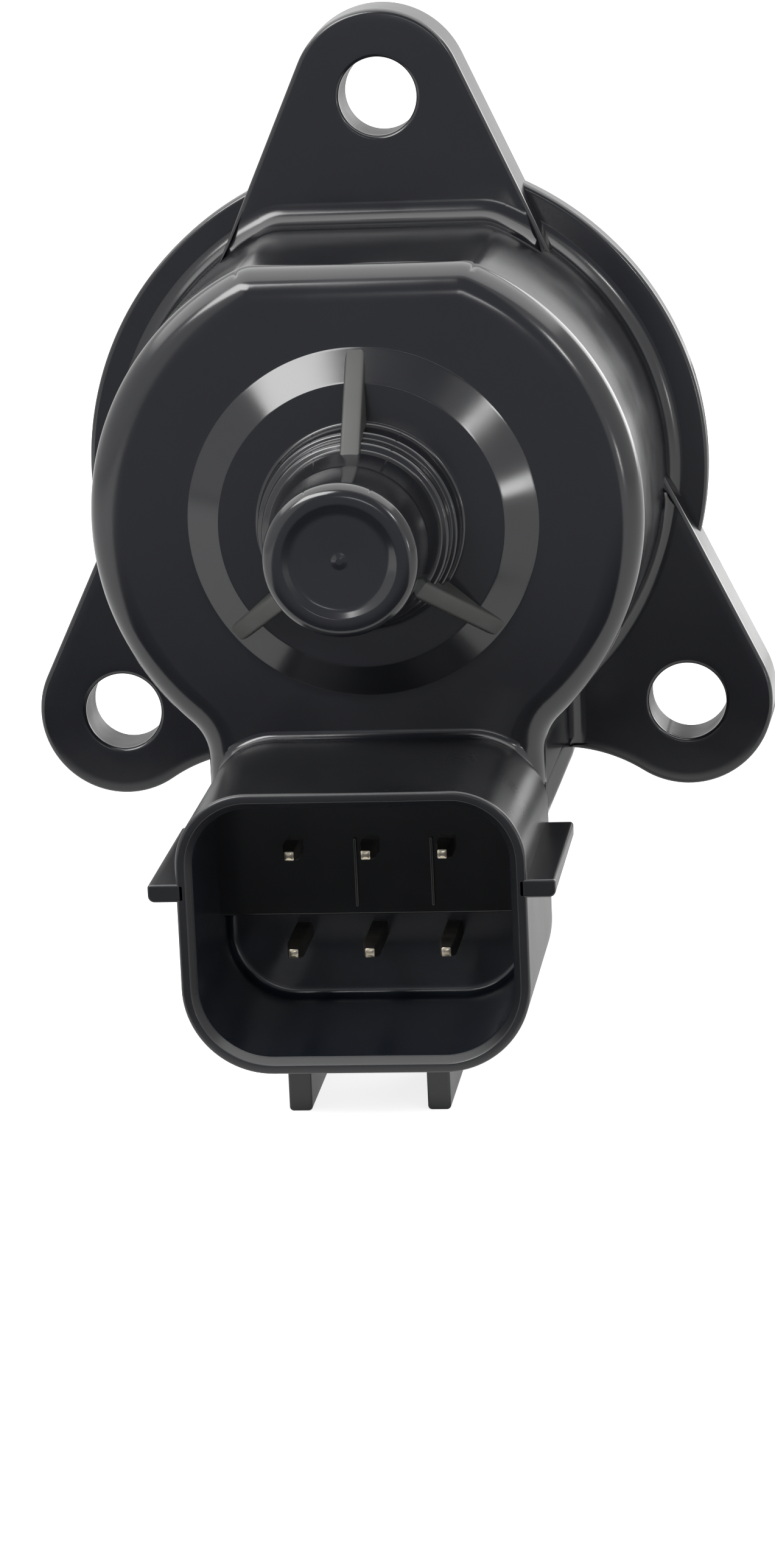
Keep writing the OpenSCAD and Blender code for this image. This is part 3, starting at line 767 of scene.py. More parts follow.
    def ear_outline(self, angle: float) -> Outline:
        """Draws one ear: its rounded end, its edges, and a root that follows the motor's cavity.

        The centre of a root corner lies at k * normal + s * along, with k the edge's reach less the
        corner's radius and s such that the corner touches the root circle. The foot of a lower
        ear is a hollow arc that leaves the rounded end in its own direction. The left ear is the
        right one's mirror image.

        Args:
            angle: the direction of the ear's hole from the axis, in degrees.

        Returns:
            The outline of the ear's back.
        """
        if angle > 180:
            right = self.ear_outline(180 - angle)
            return Outline(right.points[::-1] * [-1, 1], right.normals[::-1] * [-1, 1])
        root, soft, under_neck = self.cavity_r + 0.3, 1.2, 2.15
        (first, _), (last, reach) = self.ear_edges(angle)
        tip = self.hole_radius * direction(angle)
        hug = root + soft
        s = math.sqrt(hug**2 - (reach - soft) ** 2)
        along = np.array([-direction(last)[1], direction(last)[0]])
        upper = (reach - soft) * direction(last) - s * along
        at_upper = math.degrees(math.atan2(upper[1], upper[0]))
        if angle == 90:
            return outline([
                Bend(*tip, self.ear_end_r, first, last),
                Bend(*upper, soft, last, at_upper + 180),
                Bend(0, 0, root, at_upper, 180 - at_upper, True),
                Bend(-upper[0], upper[1], soft, 360 - at_upper, 360 + first)])
        leave = -90 - self.ear_foot_slope
        drop = -direction(leave)[1]
        hollow_r = (self.ear_foot_z + tip[1] - self.ear_end_r * drop) / (drop - 1)
        hollow = tip + (self.ear_end_r + hollow_r) * direction(leave)
        foot = np.array([self.neck_half - under_neck, soft - self.ear_foot_z])
        lean = math.degrees(math.acos(hug / np.linalg.norm(foot)) + math.atan2(foot[1], foot[0]))
        return outline([
            Bend(*tip, self.ear_end_r, leave, last),
            Bend(*upper, soft, last, at_upper + 180),
            Bend(0, 0, root, at_upper, lean, True),
            Bend(*foot, soft, lean + 180, 270),
            Bend(*hollow, hollow_r, 90, leave + 180, True)])

    def ear(self, angle: float) -> Skin:
        """Builds one ear as rows round its hole: bevel, hole, front, side and back, closed on itself.

        A row of the hole lies at radius * (direction from the hole's middle to the outline's
        point), and a row of the side at point + shift * normal.

        Args:
            angle: the direction of the ear's hole from the axis, in degrees.

        Returns:
            The closed surface.
        """
        plan = self.ear_outline(angle)
        centre = self.hole_radius * direction(angle)
        ray = plan.points - centre
        ray /= np.linalg.norm(ray, axis=1, keepdims=True)
        r, edge, bevel = self.hole_r, self.hole_edge, self.back_bevel
        front, back = self.ear_t, self.ear_back
        hole = section([
            (r + bevel, back, 0), (r, back + bevel, 0), (r, front, edge), (r + edge + 0.4, front, 0)])
        bore = rows_of(centre + hole[:, :1, None] * ray[None], hole[:, 1])
        side = section([
            (-0.9, front, 0), (-self.ear_draft, front, self.edge_r + 0.08), (0, back, self.edge_r),
            (-0.8, back, 0)], 18)
        scuffed = [1] * 3
        kinds = scuffed + [0] * (len(hole) + len(side) - len(scuffed))
        return skin(np.concatenate([bore, swept(plan, side)]), True, kinds)

    def ear_root(self, angle: float) -> Skin:
        """Builds the hollow fillet where an ear's front meets the cover, cut flush with the ear's sides.

        Each row is the cover's outline grown by the fillet's shift. Its two ends lie where that
        line crosses the ear's edges, and it is divided evenly between them.

        Args:
            angle: the direction of the ear's hole from the axis, in degrees.

        Returns:
            The closed surface.
        """
        plan = self.cover_outline()
        face, wall = self.ear_t - 0.005, self.cover_draft
        leg = self.root_legs[self.ear_angles.index(angle)]
        slope = section([
            (face, wall + leg + 0.3, 0), (face, wall, leg), (face + leg + 0.4, wall, 0)], 14)
        sunk, behind = self.ear_t - 0.4, -0.5
        depth = np.concatenate([slope[:, 0], slope[-1:, 0], [sunk, sunk]])
        shift = np.concatenate([slope[:, 1], [behind, behind], slope[:1, 1]])
        count, trim = 90, self.edge_r + self.ear_draft
        heading = np.degrees(np.arctan2(plan.points[:, 1], plan.points[:, 0])) - angle
        order = np.argsort((heading + 180) % 360)
        middle = int(np.argmin(np.abs((heading[order] + 180) % 360 - 180)))
        rows = []
        for step in shift:
            line = plan.grown(step)[order]
            room = np.full(len(line), np.inf)
            for normal, reach in self.ear_edges(angle):
                room = np.minimum(room, reach - line @ direction(normal) - trim)
            past = np.flatnonzero(room <= 0)
            low, high = past[past < middle].max() + 1, past[past > middle].min() - 1
            start = low - room[low] / (room[low] - room[low - 1])
            end = high + room[high] / (room[high] - room[high + 1])
            spot = np.linspace(start, end, count)
            known = np.arange(len(line))
            rows.append(np.stack([np.interp(spot, known, line[:, k]) for k in (0, 1)], axis=1))
        return skin(rows_of(np.array(rows), depth).transpose(1, 0, 2))

    def gusset(self, angle: float) -> Skin:
        """Builds one web: its edge falls from the post to the foot of the cone, with round corners.

        A row of points stands across the web at one radius: it goes over the web's edge, rounded
        by a quarter circle at both sides, and down into the cover.

        Args:
            angle: the direction of the web from the axis, in degrees.

        Returns:
            The closed surface.
        """
        half, soft, sunk = self.gusset_t / 2, 0.25, 1.0
        post = self.post_r
        radius = np.array([post - 1.2, post, post + 0.25, 5.4, 7, 8.8, self.cone_r, 11.2])
        fall = (self.gusset_h + 0.05) / (self.cone_r - post)
        height = self.cover_h + self.gusset_h - fall * (radius - post)
        turn = np.radians(np.linspace(0, 90, 5))
        side = np.concatenate([[half + 0.05], half - soft + soft * np.cos(turn)])
        drop = np.concatenate([[-sunk], soft * (np.sin(turn) - 1)])
        across = np.concatenate([side, -side[::-1]])
        below = np.concatenate([drop, drop[::-1]])
        depth = height[:, None] + below[None]
        depth[:, [0, -1]] = self.cover_h - sunk
        along, over = direction(angle), direction(angle + 90)
        flat = radius[:, None, None] * along + across[None, :, None] * over
        return skin(np.stack([flat[..., 0], -depth, flat[..., 1]], axis=-1))

    def dress(self, finishes: Finishes) -> list[bpy.types.Object]:
        """Builds the pieces of the moulding and gives them their finish.

        Args:
            finishes: the shared finishes.

        Returns:
            The pieces, still free of any body.
        """
        polished = finishes.of(Finishes.POLISHED_PBT)
        scuffed = finishes.of(Finishes.SCUFFED_PBT)
        # the gussets' pale finish is painted highlight
        painted_highlight = finishes.of(Finishes.PAINTED_HIGHLIGHT_PBT)
        ears = [self.ear(a) for a in self.ear_angles] + [self.ear_root(a) for a in self.ear_angles]
        return [
            make_piece("motor_cover", [self.body(), self.neck_foot_block(), self.flange()], [polished]),
            make_piece("mounting_ears", ears, [polished, scuffed]),
            make_piece("post_gussets", [self.gusset(a) for a in self.ear_angles], [painted_highlight])]


class ShellFinish(IntEnum):
    """The materials of the connector's piece, in their order on it."""

    POLISHED = 0
    SATIN = 1
    # painted light: the lighter, bluish colour of the pocket
    POCKET = 2
    # painted shade: the darker colour of the step deep in the socket
    CORE_END = 3
    # painted highlight: the pale colour of the gussets and ribs
    WORN = 4


@dataclass
class ConnectorShell:
    """The six way socket under the cover, with its lugs, rails and catch."""

    half_w: float = 10.4
    top: float = -13.45
    foot: float = -30.6
    top_r: float = 4.4
    foot_r: float = 5.3
    mouth: float = 35.0
    rear: float = 18.5
    floor: float = 20.5
    step: float = 25.2
    step_foot: float = -23.4
    step_r: float = 3.9
    rim_t: float = 1.0
    floor_ribs: tuple[float, float] = (-0.86, 3.79)
    rib_half: float = 0.1
    rib_foot: float = -22.9
    rib_top: float = -18.6
    lug_reach: float = 1.7
    lug_len: float = 14.0
    lug_top: float = -18.85
    lug_t: float = 1.1
    rail_x: float = 4.2
    rail_t: float = 1.4
    rail_foot: float = -34.25
    rail_front: float = 4.5
    rail_rear: float = 15.5
    catch_half: float = 2.0
    catch_drop: float = 2.0
    back_half: float = 7.3
    back_foot: float = -27.6
    back_top: float = -18.8
    back_rear: float = 13.4

    def plan(self) -> Outline:
        """Returns the shell's outline, a rectangle with the softer corners at its foot."""
        return upright(-self.half_w, self.half_w, self.foot, self.top, self.foot_r, self.top_r)

    def shell(self) -> Skin:
        """Builds wall, rim, bevel and floor as rows of the outline, from the back to the floor.

        Returns:
            The closed surface.
        """
        bevel, floor = 0.55, self.floor + 1.2
        line = section([
            (-3.0, self.rear, 0), (0, self.rear, 0.6), (0.0, self.mouth, 0.22),
            (-bevel, self.mouth, 0.1), (-self.rim_t, self.mouth - bevel, 0.15),
            (-self.rim_t - 0.1, floor, 0.5), (-3.6, floor, 0)], 12)
        shift, depth = line.T
        # the pocket's walls and floor take a lighter, bluish colour: painted light
        pocket = (depth < self.mouth - 0.5) & (shift < -0.9) & (depth > self.rear + 1)
        kinds = np.where(pocket, ShellFinish.POCKET, ShellFinish.SATIN)
        return skin(swept(self.plan(), line), finishes=kinds.tolist())

    def blocks(self) -> list[Skin]:
        """Builds the step in the socket, the lugs, the rails, the catch and the block behind.

        Each is sunk a little into the wall that carries it.

        Returns:
            One closed surface for each.
        """
        sunk = 0.5
        w = self.half_w - sunk
        step = upright(-w, w, self.step_foot, self.top - sunk, 0.3, self.step_r)
        # the step takes the darkest colour, painted shade for the depth of the socket
        parts = [slab(step, self.floor - sunk, self.step, 0.06).in_finish(ShellFinish.CORE_END)]
        half = self.rib_half
        for x in self.floor_ribs:
            rib = upright(x - half, x + half, self.rib_foot, self.rib_top, half, half, 0.2)
            # the ribs take the pale finish, painted highlight
            parts.append(slab(rib, self.step - 0.2, self.step + 0.2, 0.05).in_finish(ShellFinish.WORN))
        reach, top = self.half_w + self.lug_reach, self.lug_top
        foot = top - self.lug_t
        right = [(w, foot, 0.2), (reach, foot, 0.4), (reach, top, 0.2), (w, top, 0.2)]
        left = [(-x, z, r) for x, z, r in right[::-1]]
        for side in (right, left):
            lug = slab(outline(corner_bends(side)), self.mouth - self.lug_len, self.mouth, 0.12)
            parts.append(lug.in_finish(ShellFinish.SATIN))
        soft, carried = 0.25, self.foot + sunk
        for x in (-self.rail_x, self.rail_x):
            half = self.rail_t / 2
            rail = upright(x - half, x + half, self.rail_foot, carried, soft, soft)
            rear, front = self.mouth - self.rail_rear, self.mouth - self.rail_front
            parts.append(slab(rail, rear, front, 0.15).in_finish(ShellFinish.SATIN))
        nose, low = self.rail_front - self.mouth, self.foot - self.catch_drop
        catch = outline(corner_bends([
            (nose + 4.7, low, soft), (nose + 4.7, carried, soft), (nose, carried, soft),
            (nose, self.foot - 0.3, soft), (nose + 3.5, low, 0.3)]))
        parts.append(slab(catch, -self.catch_half, self.catch_half, 0.15, Plane.SIDE))
        back = upright(-self.back_half, self.back_half, self.back_foot, self.back_top, 0.8, 0.8)
        parts.append(slab(back, self.back_rear, self.rear + sunk, 0.4))
        return parts

    def root(self, cover: CoverMoulding) -> Skin:
        """Builds the fillet where the shell leaves the cover's front face.

        Its radius fades out at both sides, where the face has rounded away. The face lies at
        cover_h - (R - sqrt(R^2 - (R - d)^2)) with d the way in from the cover's outline.

        Args:
            cover: the moulding that carries the connector.

        Returns:
            The closed surface.
        """
        leg, overlap, sunk = 0.55, 0.5, 0.8
        fade_end, fade_len, least = 10.2, 1.4, 0.04
        plan = self.plan()
        keep = plan.points[:, 1] > self.top - self.top_r
        at, out = plan.points[keep], plan.normals[keep]
        order = np.argsort(at[:, 0])
        at, out = at[order], out[order]
        fade = np.clip((fade_end - np.abs(at[:, 0])) / fade_len, least, 1)
        radius = leg * fade * fade * (3 - 2 * fade)
        turn = np.radians(np.linspace(0, 90, 8))
        shift = np.concatenate([1 - np.sin(turn), [-overlap, -overlap], [1.0]])[:, None] * radius
        lift = np.concatenate([1 - np.cos(turn), [1.0, -sunk], [-sunk]])[:, None] * radius
        spot = at[None] + shift[..., None] * out[None]
        side = cover.neck_half + cover.neck_fillet
        drop = math.sqrt((cover.cover_r + cover.neck_fillet) ** 2 - side**2)
        rise = np.maximum(spot[..., 1] + drop, 0)
        inward = np.hypot(side - np.abs(spot[..., 0]), rise) - cover.neck_fillet
        short = cover.cover_round - np.clip(inward, 0.02, cover.cover_round)
        face = cover.cover_h - cover.cover_round + np.sqrt(cover.cover_round**2 - short**2)
        rows = np.stack([spot[..., 0], -(face + lift), spot[..., 1]], axis=-1)
        return skin(rows.transpose(1, 0, 2))

    def dress(self, finishes: Finishes) -> list[bpy.types.Object]:
        """Builds the connector as one piece with satin walls and a half gloss pocket.

        Args:
            finishes: the shared finishes.

        Returns:
            The piece, still free of any body.
        """
        looks = {
            ShellFinish.POLISHED: Finishes.POLISHED_PBT, ShellFinish.SATIN: Finishes.SATIN_PBT,
            ShellFinish.POCKET: Finishes.LIT_POCKET_PBT, ShellFinish.CORE_END: Finishes.PAINTED_SHADE_PBT,
            ShellFinish.WORN: Finishes.PAINTED_HIGHLIGHT_PBT}
        parts = [self.shell(), self.root(CoverMoulding())] + self.blocks()
        return [make_piece("connector_shell", parts, [finishes.of(looks[k]) for k in ShellFinish])]


@dataclass
class Terminal:
    """One square blade, tapered at its tip and bent round to its coil."""

    width: float = 1.0
    tip_y: float = -27.3
    tip_len: float = 1.1
    upper_z: float = -19.2
    lower_z: float = -25.3
    pitch: float = 4.65
    tip_taper: tuple[float, float] = (0.4, 0.56)
    corner_cut: float = 0.82
    bend_y: float = -15.0
    run_z: float = -16.6

    def blade(self, column: int, path: Sequence[tuple[float, float]]) -> Skin:
        """Carries a square with cut corners along a path in a plane of constant x.

        At a bend the square stands across the sum of the directions before and after, and is
        stretched by 1 / cos(half the turn).

        Args:
            column: -1, 0 or 1 from left to right.
            path: y and z of the bends behind the taper, ending at the coil.

        Returns:
            The closed surface.
        """
        z = path[0][1]
        full = self.width / 2
        line = np.array([(self.tip_y, z), (self.tip_y + 0.05, z), (self.tip_y + self.tip_len, z), *path])
        half = np.array([*self.tip_taper] + [1.0] * (len(line) - 2)) * full
        run = np.diff(line, axis=0)
        run /= np.linalg.norm(run, axis=1, keepdims=True)
        into, out = np.concatenate([run[:1], run]), np.concatenate([run, run[-1:]])
        middle = into + out
        middle /= np.linalg.norm(middle, axis=1, keepdims=True)
        across = np.stack([-middle[:, 1], middle[:, 0]], axis=1) / (middle * out).sum(1, keepdims=True)
        cut = self.corner_cut
        shape = np.array([
            (1, -cut), (1, cut), (cut, 1), (-cut, 1), (-1, cut), (-1, -cut), (-cut, -1), (cut, -1)])
        side = shape[None, :, 0] * half[:, None]
        up = shape[None, :, 1] * half[:, None]
        plane = line[:, None] + up[..., None] * across[:, None]
        rows = np.stack([column * self.pitch + side, plane[..., 0], plane[..., 1]], axis=-1)
        # the tip's end row takes the bright tin as a painted highlight; the rest of the blade takes the
        # darker tin as painted shade
        return skin(rows, finishes=[0] + [1] * len(path) + [1])

    def dress(self, finishes: Finishes) -> dict[str, bpy.types.Object]:
        """Builds the six terminals: three that bend up once, and three that pass under them.

        Args:
            finishes: the shared finishes.

        Returns:
            The pieces by the name of the node that each replaces.
        """
        pieces, columns, crease = {}, 3, 30
        bend, run = self.bend_y, self.run_z
        # bright tin for the painted highlight at the tip, darker tin for the painted shade behind it
        looks = [finishes.of(Finishes.TINNED_BRONZE), finishes.of(Finishes.SHADED_TIN)]
        for index in range(2 * columns):
            node = f"terminal_{index + 1}"
            end = Vector(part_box(node)[1]) / MM
            rear, top = end.y - self.width / 2, end.z
            path = [(rear, self.upper_z), (rear, top)]
            if index >= columns:
                path = [(bend, self.lower_z), (bend, run), (rear, run), (rear, top)]
            blade = self.blade(index % columns - 1, path)
            pieces[node] = make_piece(f"blade_{index + 1}", [blade], looks, crease)
        return pieces


# The valve end

@dataclass
class ValveEnd:
    """What enters the throttle body: spigot, seal, spring, screw and pintle; y grows towards it."""

    cavity_r: float = 14.25
    cap_rear: float = -2.0
    bearing_r: float = 8.02
    race_lip_r: float = 6.7
    guide_r: float = 3.1
    collar_r: float = 3.9
    well_r: float = 5.8
    nose_r: float = 7.8
    spigot_r: float = 13.8
    spigot_h: float = 6.4
    ring_r: float = 1.0
    ring_y: float = 3.1
    ring_proud: float = 0.15
    nose_end: float = 9.0
    seat_y: float = 12.0
    head_r: float = 5.6
    head_len: float = 11.0
    spring_r: float = 4.95
    wire_r: float = 0.35
    turns: float = 5.0
    spring_floor: float = 3.6
    screw_r: float = 2.2
    flat_half: float = 1.7
    pitch: float = 1.0

    def cap(self) -> Skin:
        """Builds the end cap as a turned ring: bearing seat, seal groove, spring well and guide.

        Returns:
            The closed surface.
        """
        groove = self.spigot_r + self.ring_proud - 2 * self.ring_r
        half = self.ring_r + 0.15
        low, high = self.ring_y - half, self.ring_y + half
        stop, lip, nose = 2.2, 2.5, self.nose_end - 1.2
        return lathe(section([
            (self.guide_r, lip, 0), (self.race_lip_r, lip, 0.1), (self.race_lip_r, stop, 0.1),
            (self.bearing_r, stop, 0.1), (self.bearing_r, self.cap_rear, 0.1),
            (self.cavity_r, self.cap_rear, 0.2), (self.cavity_r, -0.1, 0.1), (self.spigot_r, -0.1, 0.1),
            (self.spigot_r, low, 0.12), (groove, low, 0.1), (groove, high, 0.1),
            (self.spigot_r, high, 0.12), (self.spigot_r, self.spigot_h - 0.5, 0.3),
            (self.spigot_r - 0.5, self.spigot_h, 0.2), (self.nose_r + 0.4, self.spigot_h, 0.3),
            (self.nose_r, nose, 0.4), (self.well_r, nose, 0.3), (self.well_r, self.spring_floor, 0.4),
            (self.collar_r, self.spring_floor, 0.4), (self.collar_r, self.nose_end, 0.25),
            (self.guide_r, self.nose_end, 0.15), (self.guide_r, lip, 0)], 15))

    def seal(self) -> Skin:
        """Builds the O-ring: a circle of the cord's radius carried round the groove.

        Returns:
            The closed surface.
        """
        angle = np.radians(np.linspace(0, 360, 33))
        middle = self.spigot_r + self.ring_proud - self.ring_r
        out, along = self.ring_r * np.cos(angle), self.ring_r * np.sin(angle)
        return lathe(np.stack([middle + out, self.ring_y + along], axis=1))

    def head(self) -> Skin:
        """Builds the tapered pintle as a turned shape, from its seat to its tip.

        Returns:
            The closed surface.
        """
        r, seat, end = self.head_r, self.seat_y, self.seat_y + self.head_len
        return lathe(section([
            (0, seat, 0), (r, seat, 0.15), (r, seat + 1, 0.2), (r - 0.7, seat + 1.3, 0.2),
            (r - 0.9, seat + 3.4, 1.2), (2.4, end - 0.9, 0.8), (1.9, end - 0.2, 0.3), (1.3, end, 0.3),
            (0, end, 0)], 8), 120)

    def coil(self) -> Skin:
        """Builds the spring: a circle of the wire's radius carried along a helix.

        The middle of the wire is at spring_r * (cos a, sin a) and rises with a, apart from the
        first and last 0.8 turn, which lie flat.

        Returns:
            The closed surface.
        """
        flat, per_turn, sides = 0.8, 72, 16
        turn = np.linspace(0, self.turns, int(self.turns * per_turn) + 1)
        clear = self.wire_r + 0.02
        low, high = self.spring_floor + clear, self.seat_y - clear
        share = np.clip((turn - flat) / (self.turns - 2 * flat), 0, 1)
        rise = low + (high - low) * share
        around = np.linspace(0, 2 * np.pi, sides, endpoint=False)
        radius = self.spring_r + self.wire_r * np.cos(around)[None]
        a = 2 * np.pi * turn[:, None]
        along = rise[:, None] + self.wire_r * np.sin(around)[None]
        return skin(np.stack([radius * np.cos(a), along, radius * np.sin(a)], axis=-1))

    def screw(self) -> Skin:
        """Builds the lead screw: a rolled thread behind, a shank with two flats in front.

        The thread's radius is screw_r less a triangle wave of (y / pitch - angle / turn), and
        the shank's is the smaller of screw_r and flat_half / |cos angle|.

        Returns:
            The closed surface.
        """
        tail, front, neck, deep = -30.4, 15.45, -8.4, 0.34
        y = np.concatenate([np.linspace(tail, neck, 440), np.linspace(neck + 0.1, front, 24)])
        angle = np.linspace(0, 2 * np.pi, 72, endpoint=False)
        phase = (y[:, None] / self.pitch - angle[None] / (2 * np.pi)) % 1
        groove = deep * np.clip(2 * np.abs(phase - 0.5) * 1.2 - 0.1, 0, 1)
        fade = np.clip(np.minimum((y - tail) / 0.8, (neck - y) / 0.6), 0, 1)[:, None]
        threaded = self.screw_r - groove * fade
        chord = self.flat_half / np.maximum(np.abs(np.cos(angle)), 1e-3)
        radius = np.where(y[:, None] < neck, threaded, np.minimum(self.screw_r, chord)[None])
        along = np.broadcast_to(y[:, None], radius.shape)
        return skin(np.stack([radius * np.cos(angle), along, radius * np.sin(angle)], axis=-1))


# The studio

class Studio:
    """Camera, lights, floor and boards, in metres; the camera's target and distance in millimetres."""

    picture = (1273, 2576)
    focal_px = 8815.0
    azimuth, elevation, roll = 6.885, 13.44, 2.563
    target = (-1.756, 0.0, -21.373)
    distance = 350.0
    light_distance = 0.6
    soft_world = 0.55
    floor_half = 6.0
    floor_mirror, floor_glow = 0.3, 0.8
    glow_near_y, glow_far_y = -0.07, -0.2

    def camera(self) -> None:
        """Places the camera: it looks along f, with its up axis turned about f by the roll."""
        az, el, roll = (math.radians(v) for v in (self.azimuth, self.elevation, self.roll))
        f = Vector((-math.sin(az) * math.cos(el), math.cos(az) * math.cos(el), -math.sin(el)))
        right = Vector((math.cos(az), math.sin(az), 0))
        up = right.cross(f)
        side = right * math.cos(roll) - up * math.sin(roll)
        top = right * math.sin(roll) + up * math.cos(roll)
        data = bpy.data.cameras.new("photo_camera")
        data.sensor_fit = "VERTICAL"
        data.lens = self.focal_px / self.picture[1] * data.sensor_height
        data.clip_start, data.clip_end = 0.01, 20
        holder = add_object("photo_camera", data)
        place = (Vector(self.target) - f * self.distance) * MM
        turn = Matrix((side, top, -f)).transposed().to_4x4()
        holder.matrix_world = Matrix.Translation(place) @ turn
        bpy.context.scene.camera = holder

    def softbox(self, name: str, toward: tuple[float, float, float], size: tuple[float, float],
                watts: float) -> None:
        """Adds an area light that faces the valve, light_distance away from it.

        Args:
            name: name of the light.
            toward: direction from the valve to the light.
            size: width and height in metres.
            watts: power.
        """
        data = bpy.data.lights.new(name, "AREA")
        data.shape = "RECTANGLE"
        data.size, data.size_y = size
        data.energy = watts
        lamp = add_object(name, data)
        away = Vector(toward).normalized()
        lamp.visible_camera = False
        turn = away.to_track_quat("Z", "Y").to_matrix().to_4x4()
        lamp.matrix_world = Matrix.Translation(away * self.light_distance) @ turn

    def world(self) -> None:
        """Makes the surroundings white to the camera, to gloss and to glass, and soft grey to the rest."""
        world = bpy.data.worlds.new("studio")
        bpy.context.scene.world = world
        tree = empty_tree(world)
        ray = add_node(tree, "LightPath")
        seen = add_node(tree, "Math", {"operation": "MAXIMUM"},
                        {0: ray.outputs["Is Camera Ray"], 1: ray.outputs["Is Glossy Ray"]})
        seen = add_node(tree, "Math", {"operation": "MAXIMUM"},
                        {0: seen.outputs[0], 1: ray.outputs["Is Transmission Ray"]})
        strength = add_node(tree, "MapRange", {}, {
            "Value": seen.outputs[0], "To Min": self.soft_world, "To Max": 1.0})
        light = add_node(tree, "Background", {}, {
            "Color": (1, 1, 1, 1), "Strength": strength.outputs[0]})
        add_node(tree, "OutputWorld", {}, {"Surface": light.outputs[0]})

    def floor(self) -> None:
        """Lays a pale floor under the valve's lowest edge: white to the camera, dim in reflections."""
        half, level = self.floor_half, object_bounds()[0][2]
        mesh = bpy.data.meshes.new("floor")
        mesh.from_pydata([(-half, -half, level), (half, -half, level), (half, half, level),
                          (-half, half, level)], [], [(0, 1, 2, 3)])
        material = bpy.data.materials.new("pale_sweep")
        tree = empty_tree(material)
        ray = add_node(tree, "LightPath")
        mirror = add_node(tree, "Math", {"operation": "MAXIMUM"},
                          {0: ray.outputs["Is Glossy Ray"], 1: ray.outputs["Is Transmission Ray"]})
        mirror = add_node(tree, "Math", {"operation": "MULTIPLY"},
                          {0: mirror.outputs[0], 1: self.floor_mirror})
        seen = add_node(tree, "Math", {"operation": "MULTIPLY"},
                        {0: ray.outputs["Is Camera Ray"], 1: self.floor_glow})
        lift = add_node(tree, "Math", {"operation": "MAXIMUM"},
                        {0: seen.outputs[0], 1: mirror.outputs[0]})
        paper = add_node(tree, "BsdfPrincipled", {}, {
            "Base Color": linear("#f2f2f1"), "Roughness": 0.9, "Specular IOR Level": 0.0,
            "Emission Color": (1, 1, 1, 1), "Emission Strength": lift.outputs[0]})
        add_node(tree, "OutputMaterial", {}, {"Surface": paper.outputs[0]})
        mesh.materials.append(material)
        add_object("floor", mesh)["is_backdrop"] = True

    def reflector(self, name: str, corners: Sequence[tuple[float, float, float]],
                  faces: Sequence[tuple[int, ...]], colour: tuple[float, float, float], near: float,
                  far: float) -> None:
        """Adds a board that shows only in reflections.

        Its glow goes from near, at glow_near_y, to far, at glow_far_y.

        Args:
            name: name of the board.
            corners: its corners in metres.
            faces: its faces, by the numbers of their corners.
            colour: linear colour of the board.
            near: glow next to the valve.
            far: glow away from the valve.
        """
        mesh = bpy.data.meshes.new(name)
        mesh.from_pydata(corners, [], faces)
        material = bpy.data.materials.new(name)
        tree = empty_tree(material)
        place = add_node(tree, "TexCoord").outputs["Object"]
        depth = add_node(tree, "SeparateXYZ", {}, {0: place}).outputs[1]
        glow = add_node(tree, "MapRange", {}, {
            "Value": depth, "From Min": self.glow_near_y, "From Max": self.glow_far_y,
            "To Min": near, "To Max": far})
        cloth = add_node(tree, "Emission", {}, {
            "Color": (*colour, 1), "Strength": glow.outputs[0]})
        add_node(tree, "OutputMaterial", {}, {"Surface": cloth.outputs[0]})
        mesh.materials.append(material)
        board = add_object(name, mesh)
        board.visible_camera = False
        board.visible_diffuse = False
        board.visible_shadow = False
        board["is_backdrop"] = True

    def boards(self) -> None:
        """Sets up the three boards that the gloss of the moulding mirrors.

        A dim cloth lies before the valve and hangs up behind the lens, a pale sheet is held
        overhead, and a small dim card stands behind the valve, to the right of its neck.
        """
        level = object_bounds()[0][2] + 0.0005
        one_face = [(0, 1, 2, 3)]
        near, back, high = -0.05, -0.62, 0.85
        self.reflector("dim_cloth", [
            (-0.06, near, level), (0.05, near, level), (0.42, back, level), (-0.24, back, level),
            (0.42, back, high), (-0.24, back, high)], one_face + [(3, 2, 4, 5)],
            (0.96, 0.98, 1.06), 0.08, 0.4)
        left, right, front, rear, over = -0.9, 0.6, -0.26, 0.6, 0.5
        self.reflector("pale_sheet", [
            (left, front, over), (right, front, over), (right, rear, over), (left, rear, over)],
            one_face, (1, 1, 1), 3.2, 2.8)
        left, right, card, top = 0.014, 0.0262, 0.04, 0.002
        self.reflector("dim_side_card", [
            (left, card, level), (right, card, level), (right, card, top), (left, card, top)],
            one_face, (1, 1, 1.02), 0.16, 0.16)

    def build(self) -> None:
        """Sets up everything that isn't part of the valve."""
        self.camera()
        self.world()
        self.floor()
        self.boards()
        self.softbox("key_softbox", (-0.41, -0.62, 0.65), (0.34, 0.2), 2.3)
        self.softbox("right_strip", (0.6, -0.66, 0.42), (0.03, 0.08), 0.22)
        self.softbox("lens_strip", (0.03, -0.98, 0.16), (0.12, 0.03), 0.08)
        self.softbox("right_spot", (0.79, -0.58, 0.03), (0.04, 0.05), 0.1)
        self.softbox("rim_softbox", (0.5, 0.8, 0.22), (0.3, 0.4), 1.2)
        bpy.context.scene.view_settings.view_transform = "Standard"


# Putting it together

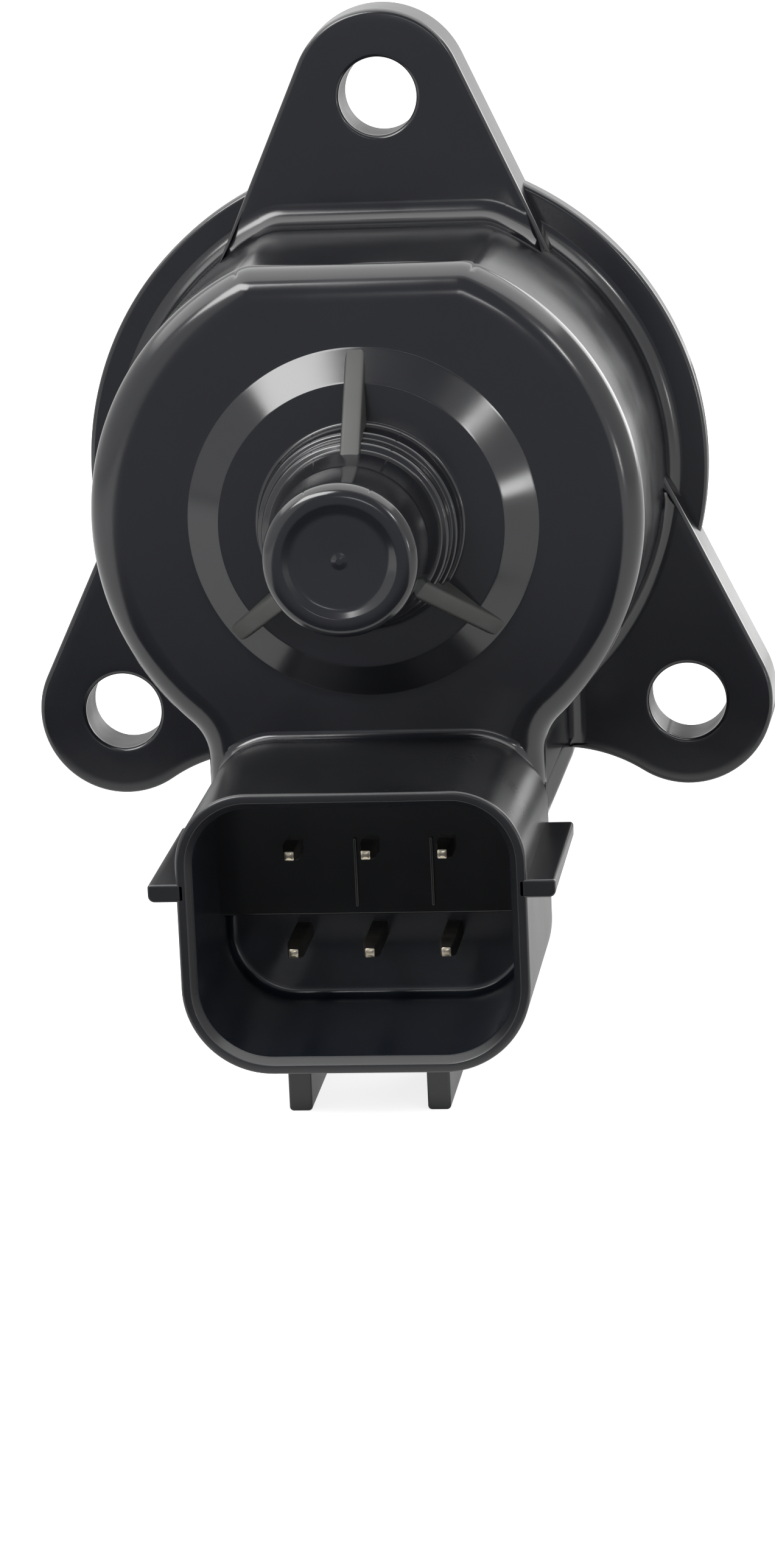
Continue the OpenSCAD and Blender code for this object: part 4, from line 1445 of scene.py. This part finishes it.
NODE_FINISHES = {
    "rear_bush": Finishes.SINTERED_BRONZE, "guide_bush": Finishes.SINTERED_BRONZE,
    "rear_cup": Finishes.ZINC_STEEL, "front_cup": Finishes.ZINC_STEEL,
    "rear_pole_plate": Finishes.ZINC_STEEL, "front_pole_plate": Finishes.ZINC_STEEL,
    "rear_bobbin": Finishes.NATURAL_NYLON, "front_bobbin": Finishes.NATURAL_NYLON,
    "rear_winding": Finishes.ENAMELLED_COPPER, "front_winding": Finishes.ENAMELLED_COPPER,
    "end_cap": Finishes.MOULDED_PBT, "o_ring": Finishes.OILED_NITRILE,
    "bearing_outer_race": Finishes.GROUND_STEEL, "bearing_inner_race": Finishes.GROUND_STEEL,
    "bearing_balls": Finishes.GROUND_STEEL, "bearing_cage": Finishes.PRESSED_BRASS,
    "rotor_hub": Finishes.NATURAL_NYLON, "rotor_magnet": Finishes.GROUND_FERRITE,
    "lead_screw": Finishes.ROLLED_STEEL, "pintle": Finishes.MOULDED_PPS, "spring": Finishes.DRAWN_WIRE,
    "housing": Finishes.POLISHED_PBT, **{f"terminal_{i}": Finishes.TINNED_BRONZE for i in range(1, 7)},
}


def dress_nodes(finishes: Finishes) -> None:
    """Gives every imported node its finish.

    Args:
        finishes: the shared finishes.
    """
    for name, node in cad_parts.items():
        node.data.materials.clear()
        node.data.materials.append(finishes.of(NODE_FINISHES[name]))


def main() -> None:
    """Builds the studio, the cover, the connector and the valve end, in that order."""
    logging.basicConfig(level=logging.INFO, format="%(name)s: %(message)s")
    Studio().build()
    finishes = Finishes()
    dress_nodes(finishes)
    for piece in CoverMoulding().dress(finishes) + ConnectorShell().dress(finishes):
        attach(piece, "cover")
        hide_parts("housing")
    for node, piece in Terminal().dress(finishes).items():
        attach(piece, "cover")
        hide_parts(node)
    valve = ValveEnd()
    for name, part, finish, node, body, slot in (
            ("spigot_cap", valve.cap(), Finishes.MOULDED_PBT, "end_cap", "cover", "cap_plastic"),
            ("spigot_seal", valve.seal(), Finishes.OILED_NITRILE, "o_ring", "cover", "seal_rubber"),
            ("pintle_head", valve.head(), Finishes.MOULDED_PPS, "pintle", "valve", "pintle_plastic"),
            ("threaded_screw", valve.screw(), Finishes.ROLLED_STEEL, "lead_screw", "valve", "screw_steel")):
        piece = make_piece(name, [part], [finishes.of(finish)])
        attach(piece, body)
        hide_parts(node)
    coil = make_piece("return_spring", [valve.coil()], [finishes.of(Finishes.DRAWN_WIRE)])
    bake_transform(coil)
    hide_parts("spring")


if __name__ == "__main__":
    main()
